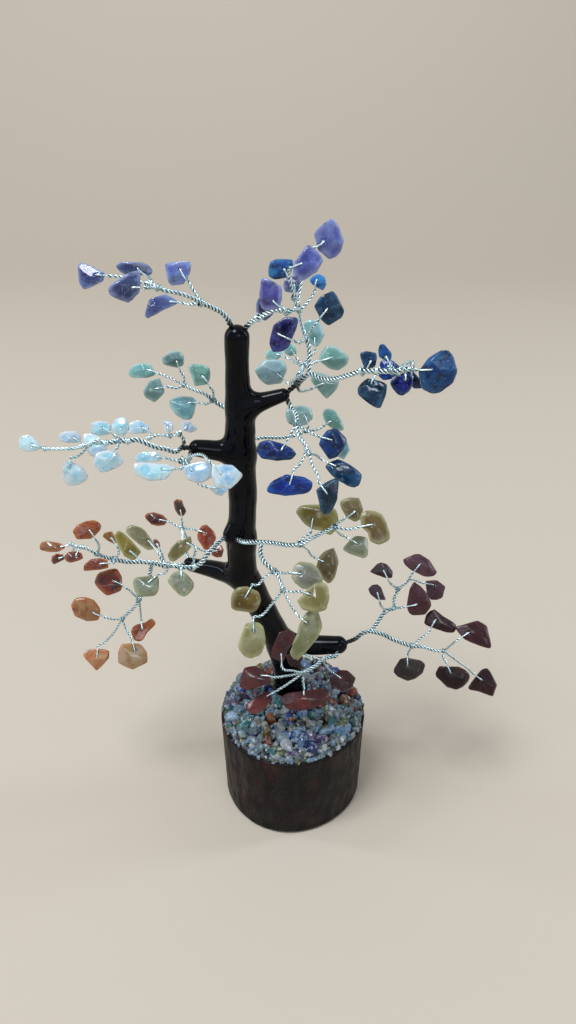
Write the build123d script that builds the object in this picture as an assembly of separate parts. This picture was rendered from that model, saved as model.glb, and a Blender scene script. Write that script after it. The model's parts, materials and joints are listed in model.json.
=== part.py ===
"""Gemstone tree: a wood log, a bed of gem gravel, a resin-coated trunk and bendable wire branches.

Millimetres, +Z up. The origin is the centre of the log's flat underside, the viewer stands on -Y.

The trunk and its stubs are a bundle of steel wires under a black resin coat. Every branch is
twisted wire that leaves a stub, forks, and ends in loops. Each loop goes through the drilled hole
of one tumbled stone. A branch turns a little about the place where it leaves its stub, as bent
wire does, and the stones that hang clear of the others swing on their loops.

Stones and wires are placed where the picture shows them. A place is a pixel, across and down, and
how far it lies in front of the trunk (negative) or behind it, as a share of REACH. The line of
sight through the pixel is then followed to that depth.
"""
from build123d import *
import math
import os

# Driving sizes of the log and of what lies on it
LOG_RADIUS = 31.0
LOG_HEIGHT = 43.0
LOG_FOOT_SHARE = 0.965
LOG_LUMP_SHARES = (1.0, 0.985, 1.0, 1.015, 0.99, 0.975, 0.99, 1.0, 1.012, 1.0, 0.982, 0.995)
BED_INSET = 1.2
BED_HEIGHT = 1.5
GRAVEL_PITCH = 5.3
GRAVEL_GAP = 0.35
GRAVEL_RIM_HEIGHT = 3.2
GRAVEL_HEAP_HEIGHT = 7.0

# Driving sizes of the crown: REACH is the length that one share of depth stands for
REACH = 100.0
EYE_SIDE_SHARE = -0.019
EYE_BACK_SHARE = 2.45
EYE_OVER_LOG_SHARE = 2.456

# Driving sizes of the trunk, its stubs, the wires and the stones' holes
TRUNK_TOP_RADIUS = 4.2
TRUNK_FOOT_RADIUS = 6.4
COAT_WALL = 1.6
CORE_FOOT_DEPTH = 18.0
FIT_GAP = 0.05
STUB_ROOT_RADIUS = 4.4
STEM_RADIUS = 0.7
FORK_RADIUS = 0.6
TWIG_RADIUS = 0.5
KNOT_RADIUS = 0.62
LOOP_RADIUS = 0.22
LOOP_GAP = 0.28
SWING_GAP = 0.42
HOLE_RADIUS = 0.7
ROOT_BALL_RADIUS = 0.95
SOCKET_GAP = 0.28

# Shares of the sizes above: how a stub flares, how much of it is wire, how a loop stands off
STUB_FLARE_SHARE = 1.6
STUB_CORE_SHARE = 0.45
STUB_CORE_REACH_SHARE = 0.8
LOOP_ENDS_SHARE = 0.5
LOOP_STEP_SHARES = (0.45, 0.8)
KNOT_SPREAD_SHARE = 1.25
GRAVEL_PACKING_SHARE = 1.0
GRAVEL_LUMP_SHARE = 0.25

# The picture's frame, in pixels, and the angle by which it looks down
FRAME_WIDE_PX = 576
FRAME_TALL_PX = 1024
FOCAL_PX = 780
LOOK_DOWN_DEG = 30.9

# Rings of a tumbled stone, front to back: share of the outline, share of the thickness
STONE_RINGS = ((0.46, 0.5), (0.83, 0.31), (1.0, 0.0), (0.8, -0.31), (0.42, -0.5))
GRAVEL_RINGS = ((0.55, 1.0), (0.88, 0.68), (1.0, 0.3), (0.86, 0.0))
# Width and rise of the rings of a dome, as shares of the radius that it closes
DOME_SHARES = ((0.3, 0.95), (0.71, 0.7), (0.93, 0.37))
TRUNK_SIDES = 20
STUB_SIDES = 12
SEAT_SIDES = 8
GRAVEL_SIDES = 7
GOLDEN_TURN_DEG = 137.508

# Flats round a wire, and the rings of a knot's bead: share of its radius out and up
WIRE_SIDES = 8
TWIG_SIDES = 6
LOOP_SIDES = 6
BEAD_SIDES = 8
BEAD_RINGS = ((0.38, 0.92), (0.92, 0.38), (0.92, -0.38), (0.38, -0.92))
BEAD_TURN_SHARE = 0.3

# Steps of the search for a stone's edge, and the rounding error allowed in it
HALVINGS = 40
ROUNDING = 1e-9

EYE = Vector(EYE_SIDE_SHARE * REACH, -EYE_BACK_SHARE * REACH, LOG_HEIGHT + EYE_OVER_LOG_SHARE * REACH)
LOOK_COS = math.cos(math.radians(LOOK_DOWN_DEG))
LOOK_SIN = math.sin(math.radians(LOOK_DOWN_DEG))
AHEAD = Vector(0, LOOK_COS, -LOOK_SIN)
UPWARD = Vector(0, LOOK_SIN, LOOK_COS)
SIDEWAYS = Vector(1, 0, 0)
UPRIGHT = Vector(0, 0, 1)


def sight(across, down):
    """Direction of the line of sight through one pixel."""
    right = SIDEWAYS * (across - FRAME_WIDE_PX / 2)
    up = UPWARD * (FRAME_TALL_PX / 2 - down)
    return AHEAD * FOCAL_PX + right + up


def place(across, down, depth_share):
    """Point seen at a pixel, on the upright plane at that share of depth."""
    way = sight(across, down)
    return EYE + way * ((depth_share * REACH - EYE.Y) / way.Y)


def stone(outline, hole, depth_share, lean=(0, 0), thick_share=0.6, twig=()):
    """One stone of the tables below, kept as a dictionary.

    outline  corners of its widest section, as pixels
    hole     pixel of its drilled hole
    lean     degrees that its face turns to the right and tips up, away from facing the viewer
    twig     pixels of its wire, from a point of the branch's stems to the stone's edge
    """
    return dict(outline=outline, hole=hole, depth_share=depth_share, lean=lean,
                thick_share=thick_share, twig=twig)


# Trunk: across, down, depth share, and its share between the top radius and the foot radius
TRUNK_STATIONS = (
    (237, 337, 0.0, 0.0), (237, 372, 0.01, 0.0), (239, 410, 0.02, 0.2), (241, 450, 0.02, 0.5),
    (243, 500, 0.03, 0.5), (241, 545, 0.04, 0.6), (243, 572, 0.045, 0.75), (258, 601, 0.055, 0.65),
    (278, 638, 0.065, 0.7), (288, 668, 0.075, 0.8), (290, 690, 0.08, 1.0),
)

# Stubs: where each leaves the trunk, where its round tip is, the tip's radius in real size
STUB_TIPS = {
    "trunk_top": ((237, 337, 0.0), (237, 337, 0.0), TRUNK_TOP_RADIUS),
    "upper_right_stub": ((245, 402, 0.02), (284, 394.5, 0.02), 2.2),
    "left_stub": ((236, 451, 0.02), (192, 447.5, -0.02), 2.2),
    "back_stub": ((241, 430, 0.03), (240, 421, 0.18), 3.2),
    "front_lump": ((241, 538, 0.04), (231, 536, -0.005), 2.9),
    "lower_left_stub": ((238, 575, 0.045), (190, 564, 0.16), 2.7),
    "lower_right_stub": ((282, 645, 0.065), (340, 645, 0.03), 3.0),
}

BRANCHES = {
    "amethyst_left": dict(
        tip="trunk_top",
        stems=[[(226, 317, -0.01), (213, 308, -0.04), (201, 303, -0.07), (190, 297, -0.10),
                (178, 293, -0.12), (167, 291, -0.14), (158, 288, -0.15), (148, 284, -0.16)]],
        groups={"amethyst_left_stones": [
            stone([(164, 262), (192, 261), (190, 273), (184, 284), (172, 286), (168, 282)],
                  (181, 269), -0.04, (-14, -8), 0.6, [(201, 303), (194, 291), (188, 281)]),
            stone([(152, 295), (165, 294), (175, 298), (179, 303), (160, 312), (149, 319),
                   (143, 319), (142, 313)],
                  (170, 302), -0.06, (8, 10), 0.55, [(201, 303), (190, 304), (183, 303)]),
            stone([(110, 268), (119, 262), (141, 262), (156, 267), (152, 275), (128, 276)],
                  (138, 268), -0.10, (-8, -12), 0.6, [(158, 288), (151, 281), (147, 276)]),
            stone([(105, 290), (113, 283), (130, 272), (140, 270), (141, 284), (139, 293),
                   (129, 304), (115, 300)],
                  (132, 288), -0.26, (10, 6), 0.5, [(158, 288), (150, 288), (143, 288)]),
            stone([(77, 262), (82, 262), (106, 273), (104, 281), (90, 288), (83, 290), (79, 283)],
                  (98, 275), -0.17, (-16, 4), 0.6, [(148, 284), (130, 279), (120, 277), (109, 276)]),
        ]},
        hanging={}),
    "amethyst_right": dict(
        tip="trunk_top",
        stems=[[(250, 323, 0.0), (258, 318, -0.02), (266, 314, -0.04), (278, 310, -0.06),
                (286, 312, -0.07), (297, 307, -0.08), (294, 298, -0.09)]],
        groups={"amethyst_right_stones": [
            stone([(314, 234), (323, 221), (332, 218), (338, 223), (344, 240), (341, 252),
                   (332, 262), (318, 250)],
                  (323, 241), -0.04, (14, -10), 0.6, [(297, 307), (300, 290), (305, 265), (314, 248)]),
            stone([(294, 262), (309, 242), (322, 252), (325, 258), (317, 272), (303, 281),
                   (293, 276)],
                  (302, 264), -0.14, (-12, 4), 0.6, [(294, 298), (291, 285), (289, 273), (291, 268)]),
            stone([(282, 282), (286, 275), (302, 278), (301, 290), (296, 293), (285, 292)],
                  (294, 286), -0.05, (6, 10), 0.6, [(294, 298), (295, 295)]),
            stone([(259, 277), (270, 279), (282, 287), (282, 300), (279, 309), (262, 311),
                   (259, 300)],
                  (274, 301), -0.12, (-8, -6), 0.55, [(286, 312), (283, 309)]),
            stone([(256, 297), (262, 296), (282, 303), (276, 314), (265, 321), (259, 318),
                   (256, 311)],
                  (266, 311), 0.03, (4, -10), 0.5, [(258, 318), (258, 319)]),
        ]},
        hanging={}),
    "upper_right": dict(
        tip="upper_right_stub",
        stems=[[(297, 384, 0.02), (304, 378, 0.01), (309, 374, 0.0), (320, 378, -0.03),
                (332, 379, -0.07), (345, 376, -0.11), (362, 371, -0.15), (378, 371, -0.18),
                (392, 371, -0.20), (405, 370, -0.21), (412, 369, -0.21)],
               [(309, 374, 0.0), (309, 360, 0.03), (309, 348, 0.05), (306, 338, 0.06),
                (302, 326, 0.07), (299, 311, 0.07)],
               [(297, 384, 0.02), (300, 375, 0.10), (303, 366, 0.20)]],
        groups={
            "lapis_upper_stones": [
                stone([(267, 270), (270, 262), (276, 259), (297, 259), (296, 268), (290, 277),
                       (275, 280), (267, 276)],
                      (284, 270), 0.06, (8, 6), 0.5, [(299, 311), (296, 300), (292, 288), (289, 280)]),
                stone([(308, 279), (318, 273), (325, 277), (327, 284), (323, 291), (316, 287),
                       (310, 283)],
                      (317, 280), 0.07, (-10, -8), 0.6, [(299, 311), (307, 303), (314, 293)]),
                stone([(314, 306), (320, 296), (332, 290), (336, 294), (347, 315), (343, 317),
                       (327, 328), (321, 320)],
                      (326, 310), -0.03, (12, 8), 0.55, [(306, 338), (310, 332), (317, 322)]),
                stone([(268, 343), (272, 326), (283, 316), (293, 315), (299, 319), (296, 330),
                       (289, 347), (279, 355), (273, 353)],
                      (279, 334), -0.03, (-10, 2), 0.6, [(306, 338), (301, 342), (294, 341)]),
            ],
            "aventurine_right_stones": [
                stone([(254, 370), (265, 360), (283, 358), (288, 370), (283, 383), (268, 386),
                       (256, 378)],
                      (277, 374), 0.27, (16, -10), 0.5, [(300, 375), (292, 381), (285, 381)]),
                stone([(266, 352), (275, 347), (283, 350), (283, 356), (276, 361), (265, 359)],
                      (277, 355), 0.36, (-8, 12), 0.6, [(303, 366), (293, 361), (285, 357)]),
                stone([(284, 348), (290, 342), (296, 347), (297, 354), (290, 357), (284, 354)],
                      (291, 350), 0.22, (10, -6), 0.6, [(303, 366), (298, 360)]),
                stone([(301, 322), (312, 318), (320, 322), (325, 335), (322, 345), (315, 347),
                       (303, 338)],
                      (315, 339), 0.28, (-6, 10), 0.55, [(303, 366), (309, 357), (315, 350)]),
                stone([(317, 355), (324, 345), (335, 346), (350, 356), (348, 365), (340, 371),
                       (331, 370), (320, 362)],
                      (331, 357), 0.24, (12, -4), 0.55, [(303, 366), (313, 364), (319, 361)]),
                stone([(310, 370), (322, 373), (338, 378), (342, 384), (330, 399), (325, 399),
                       (317, 391), (310, 382)],
                      (324, 384), 0.14, (-12, 6), 0.5, [(297, 384), (300, 391), (311, 389)]),
            ],
            "lapis_right_stones": [
                stone([(359, 353), (366, 351), (378, 353), (378, 364), (370, 370), (364, 368)],
                      (370, 362), -0.05, (10, 8), 0.6, [(362, 371), (366, 370)]),
                stone([(356, 388), (364, 380), (366, 377), (378, 379), (388, 385), (386, 395),
                       (381, 408), (376, 410), (368, 404), (356, 393)],
                      (372, 384), -0.15, (-12, 14), 0.55, [(378, 371), (375, 376)]),
                stone([(378, 350), (380, 344), (384, 344), (391, 352), (393, 359), (388, 363),
                       (379, 358)],
                      (386, 357), -0.14, (8, 0), 0.6, [(392, 371), (390, 365)]),
                stone([(380, 360), (385, 357), (395, 362), (396, 368), (392, 380), (385, 382),
                       (378, 376)],
                      (388, 366), -0.08, (-8, 6), 0.5, [(392, 371), (395, 372)]),
                stone([(391, 359), (402, 368), (396, 376), (388, 380), (386, 370)],
                      (396, 370), 0.0, (6, -8), 0.5, [(405, 370), (405, 365), (402, 366)]),
                stone([(388, 383), (396, 376), (405, 372), (412, 376), (414, 387), (410, 391),
                       (401, 397), (397, 395)],
                      (405, 380), -0.15, (14, 10), 0.5, [(405, 370), (405, 371)]),
                stone([(407, 368), (412, 370), (421, 380), (427, 388), (414, 389), (408, 380)],
                      (412, 377), -0.07, (-6, -6), 0.5, [(412, 369), (413, 363), (411, 365)]),
                stone([(418, 372), (428, 358), (441, 350), (449, 350), (454, 358), (458, 372),
                       (453, 383), (440, 393), (431, 394), (416, 388)],
                      (430, 369), -0.17, (16, -6), 0.5, [(412, 369), (416, 370)]),
            ]},
        hanging={}),
    "lapis_lower": dict(
        tip="upper_right_stub",
        stems=[[(291, 407, 0.0), (296, 415, -0.04), (297, 425, -0.08), (299, 436, -0.12),
                (304, 443, -0.15), (307, 449, -0.16), (309, 454, -0.17)]],
        groups={"lapis_lower_stones": [
            stone([(256, 447), (261, 440), (270, 440), (284, 444), (296, 450), (300, 455),
                   (297, 459), (277, 461), (256, 458)],
                  (282, 450), -0.13, (-8, 10), 0.62, [(297, 425), (292, 432), (287, 441)]),
            stone([(318, 447), (321, 438), (327, 430), (336, 428), (341, 429), (348, 440),
                   (344, 450), (337, 457), (327, 460)],
                  (330, 439), -0.13, (14, -8), 0.6, [(297, 425), (308, 431), (318, 436)]),
            stone([(322, 463), (328, 459), (337, 458), (349, 464), (363, 474), (359, 485),
                   (355, 489), (348, 487), (332, 476)],
                  (335, 466), -0.17, (-10, 8), 0.6, [(309, 454), (315, 455), (321, 459)]),
        ]},
        hanging={
            "lapis_lower_hanging_long": stone(
                [(266, 490), (272, 480), (284, 474), (292, 475), (305, 477), (316, 484),
                 (314, 491), (304, 494), (285, 496), (268, 493)],
                (290, 482), -0.20, (0, -16), 0.6, [(307, 449), (300, 464), (293, 472)]),
            "lapis_lower_hanging_dark": stone(
                [(316, 490), (323, 484), (329, 479), (336, 477), (340, 482), (338, 498),
                 (332, 511), (327, 516), (321, 512)],
                (326, 492), -0.27, (8, -12), 0.6, [(309, 454), (313, 467), (319, 478), (320, 484)]),
        }),
    "aventurine_low": dict(
        tip="back_stub",
        stems=[[(255, 439, 0.20), (262, 438, 0.21), (275, 438, 0.23), (290, 437, 0.25),
                (300, 434, 0.26), (306, 431, 0.27)]],
        groups={"aventurine_low_stones": [
            stone([(282, 410), (290, 406), (303, 405), (312, 409), (314, 418), (306, 425),
                   (296, 427), (288, 425)],
                  (304, 416), 0.28, (10, 8), 0.5, [(306, 431), (308, 426)]),
            stone([(320, 410), (326, 406), (336, 411), (343, 424), (345, 430), (336, 432),
                   (326, 424)],
                  (331, 421), 0.27, (-12, -8), 0.6, [(306, 431), (316, 430), (324, 426)]),
            stone([(333, 440), (347, 440), (350, 450), (344, 460), (336, 456)],
                  (339, 446), 0.22, (8, 6), 0.6, [(306, 431), (319, 437), (330, 441)]),
        ]},
        hanging={}),
    "aventurine_left": dict(
        tip="back_stub",
        stems=[[(224, 407, 0.22), (219, 404, 0.23), (213, 400, 0.24), (205, 394, 0.25),
                (197, 391, 0.26), (184, 385, 0.28)]],
        groups={"aventurine_left_stones": [
            stone([(125, 371), (133, 365), (145, 363), (153, 365), (157, 370), (156, 375),
                   (148, 378), (131, 378)],
                  (148, 370), 0.33, (-16, 10), 0.6, [(184, 385), (172, 379), (160, 374)]),
            stone([(161, 358), (166, 352), (179, 350), (184, 356), (185, 366), (178, 368),
                   (168, 366), (163, 364)],
                  (176, 361), 0.27, (10, -10), 0.55, [(184, 385), (184, 377), (180, 370)]),
            stone([(187, 366), (192, 362), (201, 363), (209, 367), (212, 373), (211, 381),
                   (207, 386), (198, 388), (194, 386), (191, 376)],
                  (202, 377), 0.22, (12, 8), 0.5, [(213, 400), (213, 392), (210, 387)]),
            stone([(143, 390), (147, 383), (152, 377), (160, 376), (163, 383), (166, 391),
                   (160, 398), (155, 403), (148, 399), (143, 397)],
                  (156, 388), 0.26, (-8, -8), 0.55, [(184, 385), (176, 388), (167, 387)]),
            stone([(169, 400), (173, 396), (183, 396), (194, 397), (197, 401), (195, 410),
                   (193, 420), (183, 420), (176, 415), (170, 407)],
                  (187, 404), 0.28, (8, 10), 0.5, [(213, 400), (206, 404), (199, 403)]),
        ]},
        hanging={}),
    "quartz_left": dict(
        tip="left_stub",
        stems=[[(182, 448, -0.03), (176, 452, -0.06), (165, 449, -0.08), (155, 447, -0.09),
                (145, 443, -0.10), (138, 440, -0.10), (128, 441, -0.11), (118, 441, -0.11),
                (106, 443, -0.12), (97, 441, -0.12), (90, 444, -0.13), (82, 446, -0.14),
                (76, 448, -0.14), (60, 449, -0.15), (45, 449, -0.16)],
               [(182, 448, -0.03), (184, 441, -0.02), (179, 434, 0.0), (170, 436, 0.02),
                (159, 435, 0.03), (149, 438, 0.03)]],
        groups={"quartz_left_stones": [
            stone([(17, 443), (21, 436), (28, 434), (34, 438), (42, 447), (38, 451), (27, 452),
                   (20, 449)],
                  (33, 445), -0.16, (-18, 6), 0.6, [(45, 449), (43, 449)]),
            stone([(58, 434), (65, 431), (76, 431), (81, 437), (81, 443), (70, 444), (60, 441)],
                  (74, 438), -0.10, (10, -6), 0.55, [(82, 446), (83, 444)]),
            stone([(83, 433), (92, 433), (100, 437), (108, 450), (103, 452), (97, 457),
                   (92, 457), (84, 448)],
                  (97, 444), -0.05, (-6, 8), 0.5, [(106, 443), (107, 443)]),
            stone([(88, 430), (91, 423), (98, 421), (108, 422), (112, 427), (111, 434),
                   (103, 436), (92, 435)],
                  (103, 428), 0.02, (14, -8), 0.5, [(118, 441), (115, 436)]),
            stone([(112, 425), (116, 417), (121, 415), (127, 419), (130, 428), (126, 436),
                   (117, 437), (112, 432)],
                  (121, 429), -0.05, (-8, 4), 0.5, [(128, 441), (124, 439)]),
            stone([(128, 423), (138, 420), (145, 422), (150, 428), (147, 433), (138, 435),
                   (128, 434)],
                  (142, 428), 0.05, (6, 10), 0.5, [(149, 438), (152, 434)]),
            stone([(163, 421), (168, 419), (173, 424), (173, 431), (165, 432)],
                  (168, 427), 0.02, (-10, 6), 0.5, [(170, 436), (169, 434)]),
            stone([(181, 422), (190, 421), (198, 430), (192, 433), (181, 430)],
                  (187, 426), 0.0, (12, -6), 0.5, [(179, 434), (180, 432)]),
        ]},
        hanging={
            "quartz_hanging_outer": stone(
                [(62, 463), (66, 459), (72, 462), (82, 467), (89, 476), (86, 481), (78, 485),
                 (68, 487), (63, 479)],
                (69, 467), -0.14, (-8, -14), 0.6, [(90, 444), (83, 452), (76, 457), (71, 459)]),
            "quartz_hanging_inner": stone(
                [(92, 456), (98, 452), (109, 450), (118, 454), (125, 460), (122, 466), (102, 474),
                 (93, 465)],
                (110, 459), -0.18, (8, -10), 0.55, [(118, 441), (118, 446), (116, 450)]),
        }),
    "quartz_lower": dict(
        tip="left_stub",
        stems=[[(190, 458, -0.06), (186, 462, -0.09), (181, 461, -0.12)]],
        groups={"quartz_lower_stones": [
            stone([(134, 456), (140, 452), (155, 451), (162, 454), (164, 461), (135, 463)],
                  (157, 457), -0.11, (-8, 4), 0.6, [(181, 461), (173, 460), (166, 458)]),
            stone([(131, 466), (136, 462), (160, 463), (177, 467), (176, 473), (165, 480),
                   (148, 481), (133, 474)],
                  (162, 470), -0.18, (10, 8), 0.55, [(181, 461), (185, 466), (182, 469)]),
            stone([(182, 469), (188, 463), (200, 461), (214, 463), (213, 477), (200, 484),
                   (188, 480), (183, 475)],
                  (193, 470), -0.21, (-10, -8), 0.5, [(186, 462), (187, 463)]),
            stone([(212, 466), (222, 464), (232, 465), (240, 470), (244, 474), (238, 482),
                   (230, 489), (216, 488), (211, 480)],
                  (221, 474), -0.26, (12, 6), 0.5, [(186, 462), (191, 456), (203, 455), (210, 462)]),
            stone([(209, 489), (213, 483), (226, 484), (229, 489), (222, 496), (215, 495)],
                  (217, 488), -0.15, (-6, 0), 0.6, [(181, 461), (192, 478), (206, 487)]),
        ]},
        hanging={}),
    "yellow_right": dict(
        tip="front_lump",
        stems=[[(241, 541, -0.05), (248, 542, -0.08), (261, 542, -0.11), (275, 543, -0.14),
                (290, 545, -0.18), (300, 544, -0.20), (312, 538, -0.22), (322, 533, -0.24),
                (334, 527, -0.26)],
               [(261, 542, -0.11), (261, 555, -0.15), (265, 563, -0.18), (274, 571, -0.20),
                (280, 581, -0.24), (283, 590, -0.27)]],
        groups={
            "yellow_right_stones": [
                stone([(295, 512), (299, 506), (310, 504), (328, 504), (340, 511), (341, 520),
                       (336, 530), (330, 536), (322, 531), (310, 529), (300, 521)],
                      (313, 520), -0.16, (-6, 10), 0.5, [(300, 544), (304, 537), (311, 531)]),
                stone([(338, 503), (343, 499), (350, 497), (359, 498), (362, 504), (365, 511),
                       (361, 519), (355, 522), (347, 518), (342, 510)],
                      (354, 511), -0.19, (12, -8), 0.5, [(334, 527), (341, 521), (345, 518)]),
                stone([(360, 513), (365, 510), (375, 511), (382, 514), (387, 523), (391, 537),
                       (388, 541), (377, 546), (370, 543), (368, 533), (361, 527)],
                      (371, 525), -0.27, (16, 8), 0.5, [(334, 527), (345, 529), (353, 529), (359, 527)]),
                stone([(342, 549), (348, 541), (353, 536), (366, 535), (369, 539), (368, 557),
                       (365, 559), (356, 556), (345, 552)],
                      (357, 544), -0.20, (-10, 12), 0.55, [(334, 527), (340, 534), (349, 539)]),
                stone([(316, 560), (326, 549), (333, 545), (336, 552), (339, 562), (336, 575),
                       (330, 587), (322, 580), (315, 567)],
                      (323, 561), -0.16, (8, -10), 0.5, [(300, 544), (307, 549), (316, 558)]),
            ],
            "yellow_lower_stones": [
                stone([(291, 577), (294, 566), (299, 561), (312, 563), (321, 570), (325, 580),
                       (316, 589), (302, 589), (293, 583)],
                      (300, 574), -0.23, (10, 8), 0.5, [(274, 571), (283, 573), (290, 573)]),
                stone([(295, 602), (300, 598), (308, 588), (315, 583), (323, 582), (329, 586),
                       (331, 603), (326, 610), (315, 613), (303, 610)],
                      (310, 595), -0.31, (-8, 8), 0.5, [(283, 590), (291, 592), (299, 591)]),
                stone([(286, 652), (289, 646), (296, 638), (299, 625), (305, 612), (312, 609),
                       (321, 613), (324, 622), (319, 636), (308, 650), (299, 660), (295, 666),
                       (290, 663)],
                      (306, 622), -0.36, (8, -14), 0.6, [(283, 590), (289, 602), (296, 613), (300, 617)]),
            ]},
        hanging={
            "yellow_hanging_ochre": stone(
                [(230, 610), (230, 600), (233, 591), (238, 587), (247, 586), (255, 590),
                 (264, 594), (262, 603), (258, 612), (252, 613), (240, 611)],
                (246, 596), -0.22, (-8, -12), 0.5, [(274, 571), (265, 577), (256, 585), (251, 587)]),
            "yellow_hanging_pale": stone(
                [(237, 650), (239, 641), (243, 630), (246, 622), (258, 621), (265, 624),
                 (267, 642), (263, 654), (251, 659), (241, 655)],
                (253, 630), -0.31, (8, -14), 0.5, [(283, 590), (271, 605), (260, 616), (253, 620)]),
        }),
    "yellow_left": dict(
        tip="front_lump",
        stems=[[(221, 540, -0.05), (216, 545, -0.08), (206, 556, -0.13), (200, 564, -0.15),
                (193, 567, -0.17), (180, 567, -0.19), (168, 565, -0.20)]],
        groups={"yellow_left_stones": [
            stone([(165, 557), (170, 548), (178, 541), (187, 538), (191, 534), (195, 538),
                   (192, 546), (184, 556), (175, 562), (168, 561)],
                  (187, 543), -0.15, (-10, 6), 0.6, [(193, 567), (194, 557), (194, 547)]),
            stone([(166, 577), (172, 571), (181, 570), (186, 572), (190, 576), (194, 582), (194, 587),
                   (188, 597), (184, 598), (178, 594), (172, 588), (168, 582)],
                  (181, 577), -0.25, (8, 8), 0.5, [(180, 567), (181, 569)]),
            stone([(131, 580), (137, 577), (150, 576), (160, 577), (162, 582), (158, 592),
                   (154, 597), (145, 598), (138, 598), (134, 590)],
                  (149, 583), -0.21, (-14, 8), 0.5, [(168, 565), (165, 573), (158, 575)]),
            stone([(112, 532), (117, 527), (122, 531), (133, 542), (143, 554), (133, 561),
                   (124, 556), (118, 546)],
                  (130, 551), -0.21, (10, -6), 0.55, [(168, 565), (155, 562), (140, 560)]),
            stone([(124, 530), (128, 524), (136, 524), (146, 530), (153, 542), (158, 551),
                   (149, 551), (140, 545), (129, 536)],
                  (148, 541), -0.16, (8, 8), 0.5, [(168, 565), (162, 561), (160, 555)]),
        ]},
        hanging={}),
    "carnelian_left": dict(
        tip="lower_left_stub",
        stems=[[(180, 565, 0.14), (165, 566, 0.13), (152, 563, 0.12), (140, 562, 0.11),
                (128, 562, 0.10), (113, 559, 0.09), (105, 557, 0.09), (97, 554, 0.08),
                (90, 550, 0.08), (82, 547, 0.08), (75, 546, 0.07), (71, 544, 0.07)],
               [(152, 563, 0.12), (150, 572, 0.12), (149, 581, 0.11), (145, 590, 0.11),
                (139, 599, 0.10), (136, 605, 0.09), (125, 616, 0.07), (122, 619, 0.06)]],
        groups={
            "carnelian_left_stones": [
                stone([(37, 546), (40, 542), (48, 541), (60, 543), (67, 545), (68, 549),
                       (60, 552), (48, 552), (40, 550)],
                      (61, 547), 0.06, (-14, 10), 0.7, [(71, 544), (69, 545)]),
                stone([(51, 561), (52, 556), (57, 553), (63, 554), (66, 559), (60, 562),
                       (54, 565)],
                      (59, 558), 0.11, (8, -6), 0.6, [(75, 546), (69, 554)]),
                stone([(63, 557), (68, 552), (76, 551), (82, 553), (84, 558), (78, 561),
                       (70, 563), (65, 561)],
                      (76, 556), 0.03, (-6, 12), 0.6, [(82, 547), (79, 549)]),
                stone([(72, 531), (77, 525), (86, 521), (94, 520), (104, 524), (99, 533),
                       (92, 539), (77, 540)],
                      (89, 530), 0.05, (10, -8), 0.5, [(97, 554), (99, 547), (96, 540)]),
                stone([(80, 571), (84, 565), (91, 559), (100, 558), (108, 560), (110, 563),
                       (109, 568), (98, 570), (85, 571)],
                      (100, 564), 0.03, (-8, 8), 0.5, [(113, 559), (113, 563)]),
                stone([(102, 536), (106, 531), (112, 531), (117, 541), (116, 545), (108, 541)],
                      (111, 538), 0.10, (6, 6), 0.5, [(113, 559), (118, 555), (119, 549)]),
                stone([(153, 540), (156, 538), (160, 543), (161, 547), (157, 549), (154, 545)],
                      (157, 544), 0.14, (-6, 4), 0.6, [(165, 566), (163, 558), (161, 551)]),
            ],
            "carnelian_lower_stones": [
                stone([(94, 582), (97, 575), (100, 572), (110, 569), (117, 568), (122, 577),
                       (124, 586), (121, 592), (114, 597), (107, 597), (102, 592), (96, 586)],
                      (114, 582), 0.05, (12, 6), 0.5, [(139, 599), (133, 594), (126, 588)]),
                stone([(70, 605), (75, 597), (86, 597), (94, 600), (101, 609), (102, 616),
                       (97, 624), (86, 621), (74, 616)],
                      (94, 612), 0.04, (-12, -8), 0.6, [(122, 619), (113, 619), (104, 617)]),
                stone([(131, 627), (138, 624), (146, 622), (152, 616), (156, 624), (147, 633),
                       (143, 640), (137, 644), (131, 640)],
                      (142, 629), 0.09, (8, 8), 0.55, [(139, 599), (140, 608), (141, 617)]),
            ]},
        hanging={
            "carnelian_hanging_peach": stone(
                [(81, 656), (89, 649), (103, 649), (112, 650), (109, 659), (103, 666), (97, 671),
                 (92, 666), (86, 660)],
                (97, 655), 0.03, (-6, -14), 0.55, [(122, 619), (110, 637), (102, 644), (98, 647)]),
            "carnelian_hanging_pale": stone(
                [(118, 653), (121, 644), (133, 643), (141, 644), (147, 652), (149, 662),
                 (144, 667), (133, 671), (118, 663)],
                (134, 650), 0.0, (8, -12), 0.55, [(122, 619), (127, 631), (132, 640)]),
        }),
    "carnelian_back": dict(
        tip="lower_left_stub",
        stems=[[(186, 551, 0.24), (184, 540, 0.34), (183, 531, 0.42), (182, 528, 0.45)]],
        groups={"carnelian_back_stones": [
            stone([(143, 518), (147, 513), (154, 512), (163, 515), (168, 520), (165, 525),
                   (158, 526), (149, 524)],
                  (160, 520), 0.48, (-10, 8), 0.6, [(182, 528), (175, 525), (170, 522)]),
            stone([(173, 501), (176, 499), (182, 500), (184, 506), (187, 511), (183, 517),
                   (179, 516), (175, 510)],
                  (180, 510), 0.46, (8, -8), 0.6, [(182, 528), (182, 520)]),
            stone([(197, 533), (201, 526), (208, 523), (213, 528), (217, 538), (213, 548),
                   (205, 551), (198, 543)],
                  (204, 533), 0.42, (12, 6), 0.5, [(182, 528), (190, 529), (196, 530)]),
            stone([(211, 555), (215, 547), (221, 544), (224, 550), (222, 557), (215, 558)],
                  (217, 551), 0.50, (-8, 4), 0.6, [(182, 528), (194, 546), (208, 552)]),
        ]},
        hanging={}),
    "jasper_right": dict(
        tip="lower_right_stub",
        stems=[[(355, 639, 0.04), (363, 633, 0.05), (370, 631, 0.06), (375, 626, 0.08),
                (380, 619, 0.10), (386, 611, 0.12), (394, 608, 0.13), (394, 600, 0.14),
                (398, 589, 0.15)],
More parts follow.
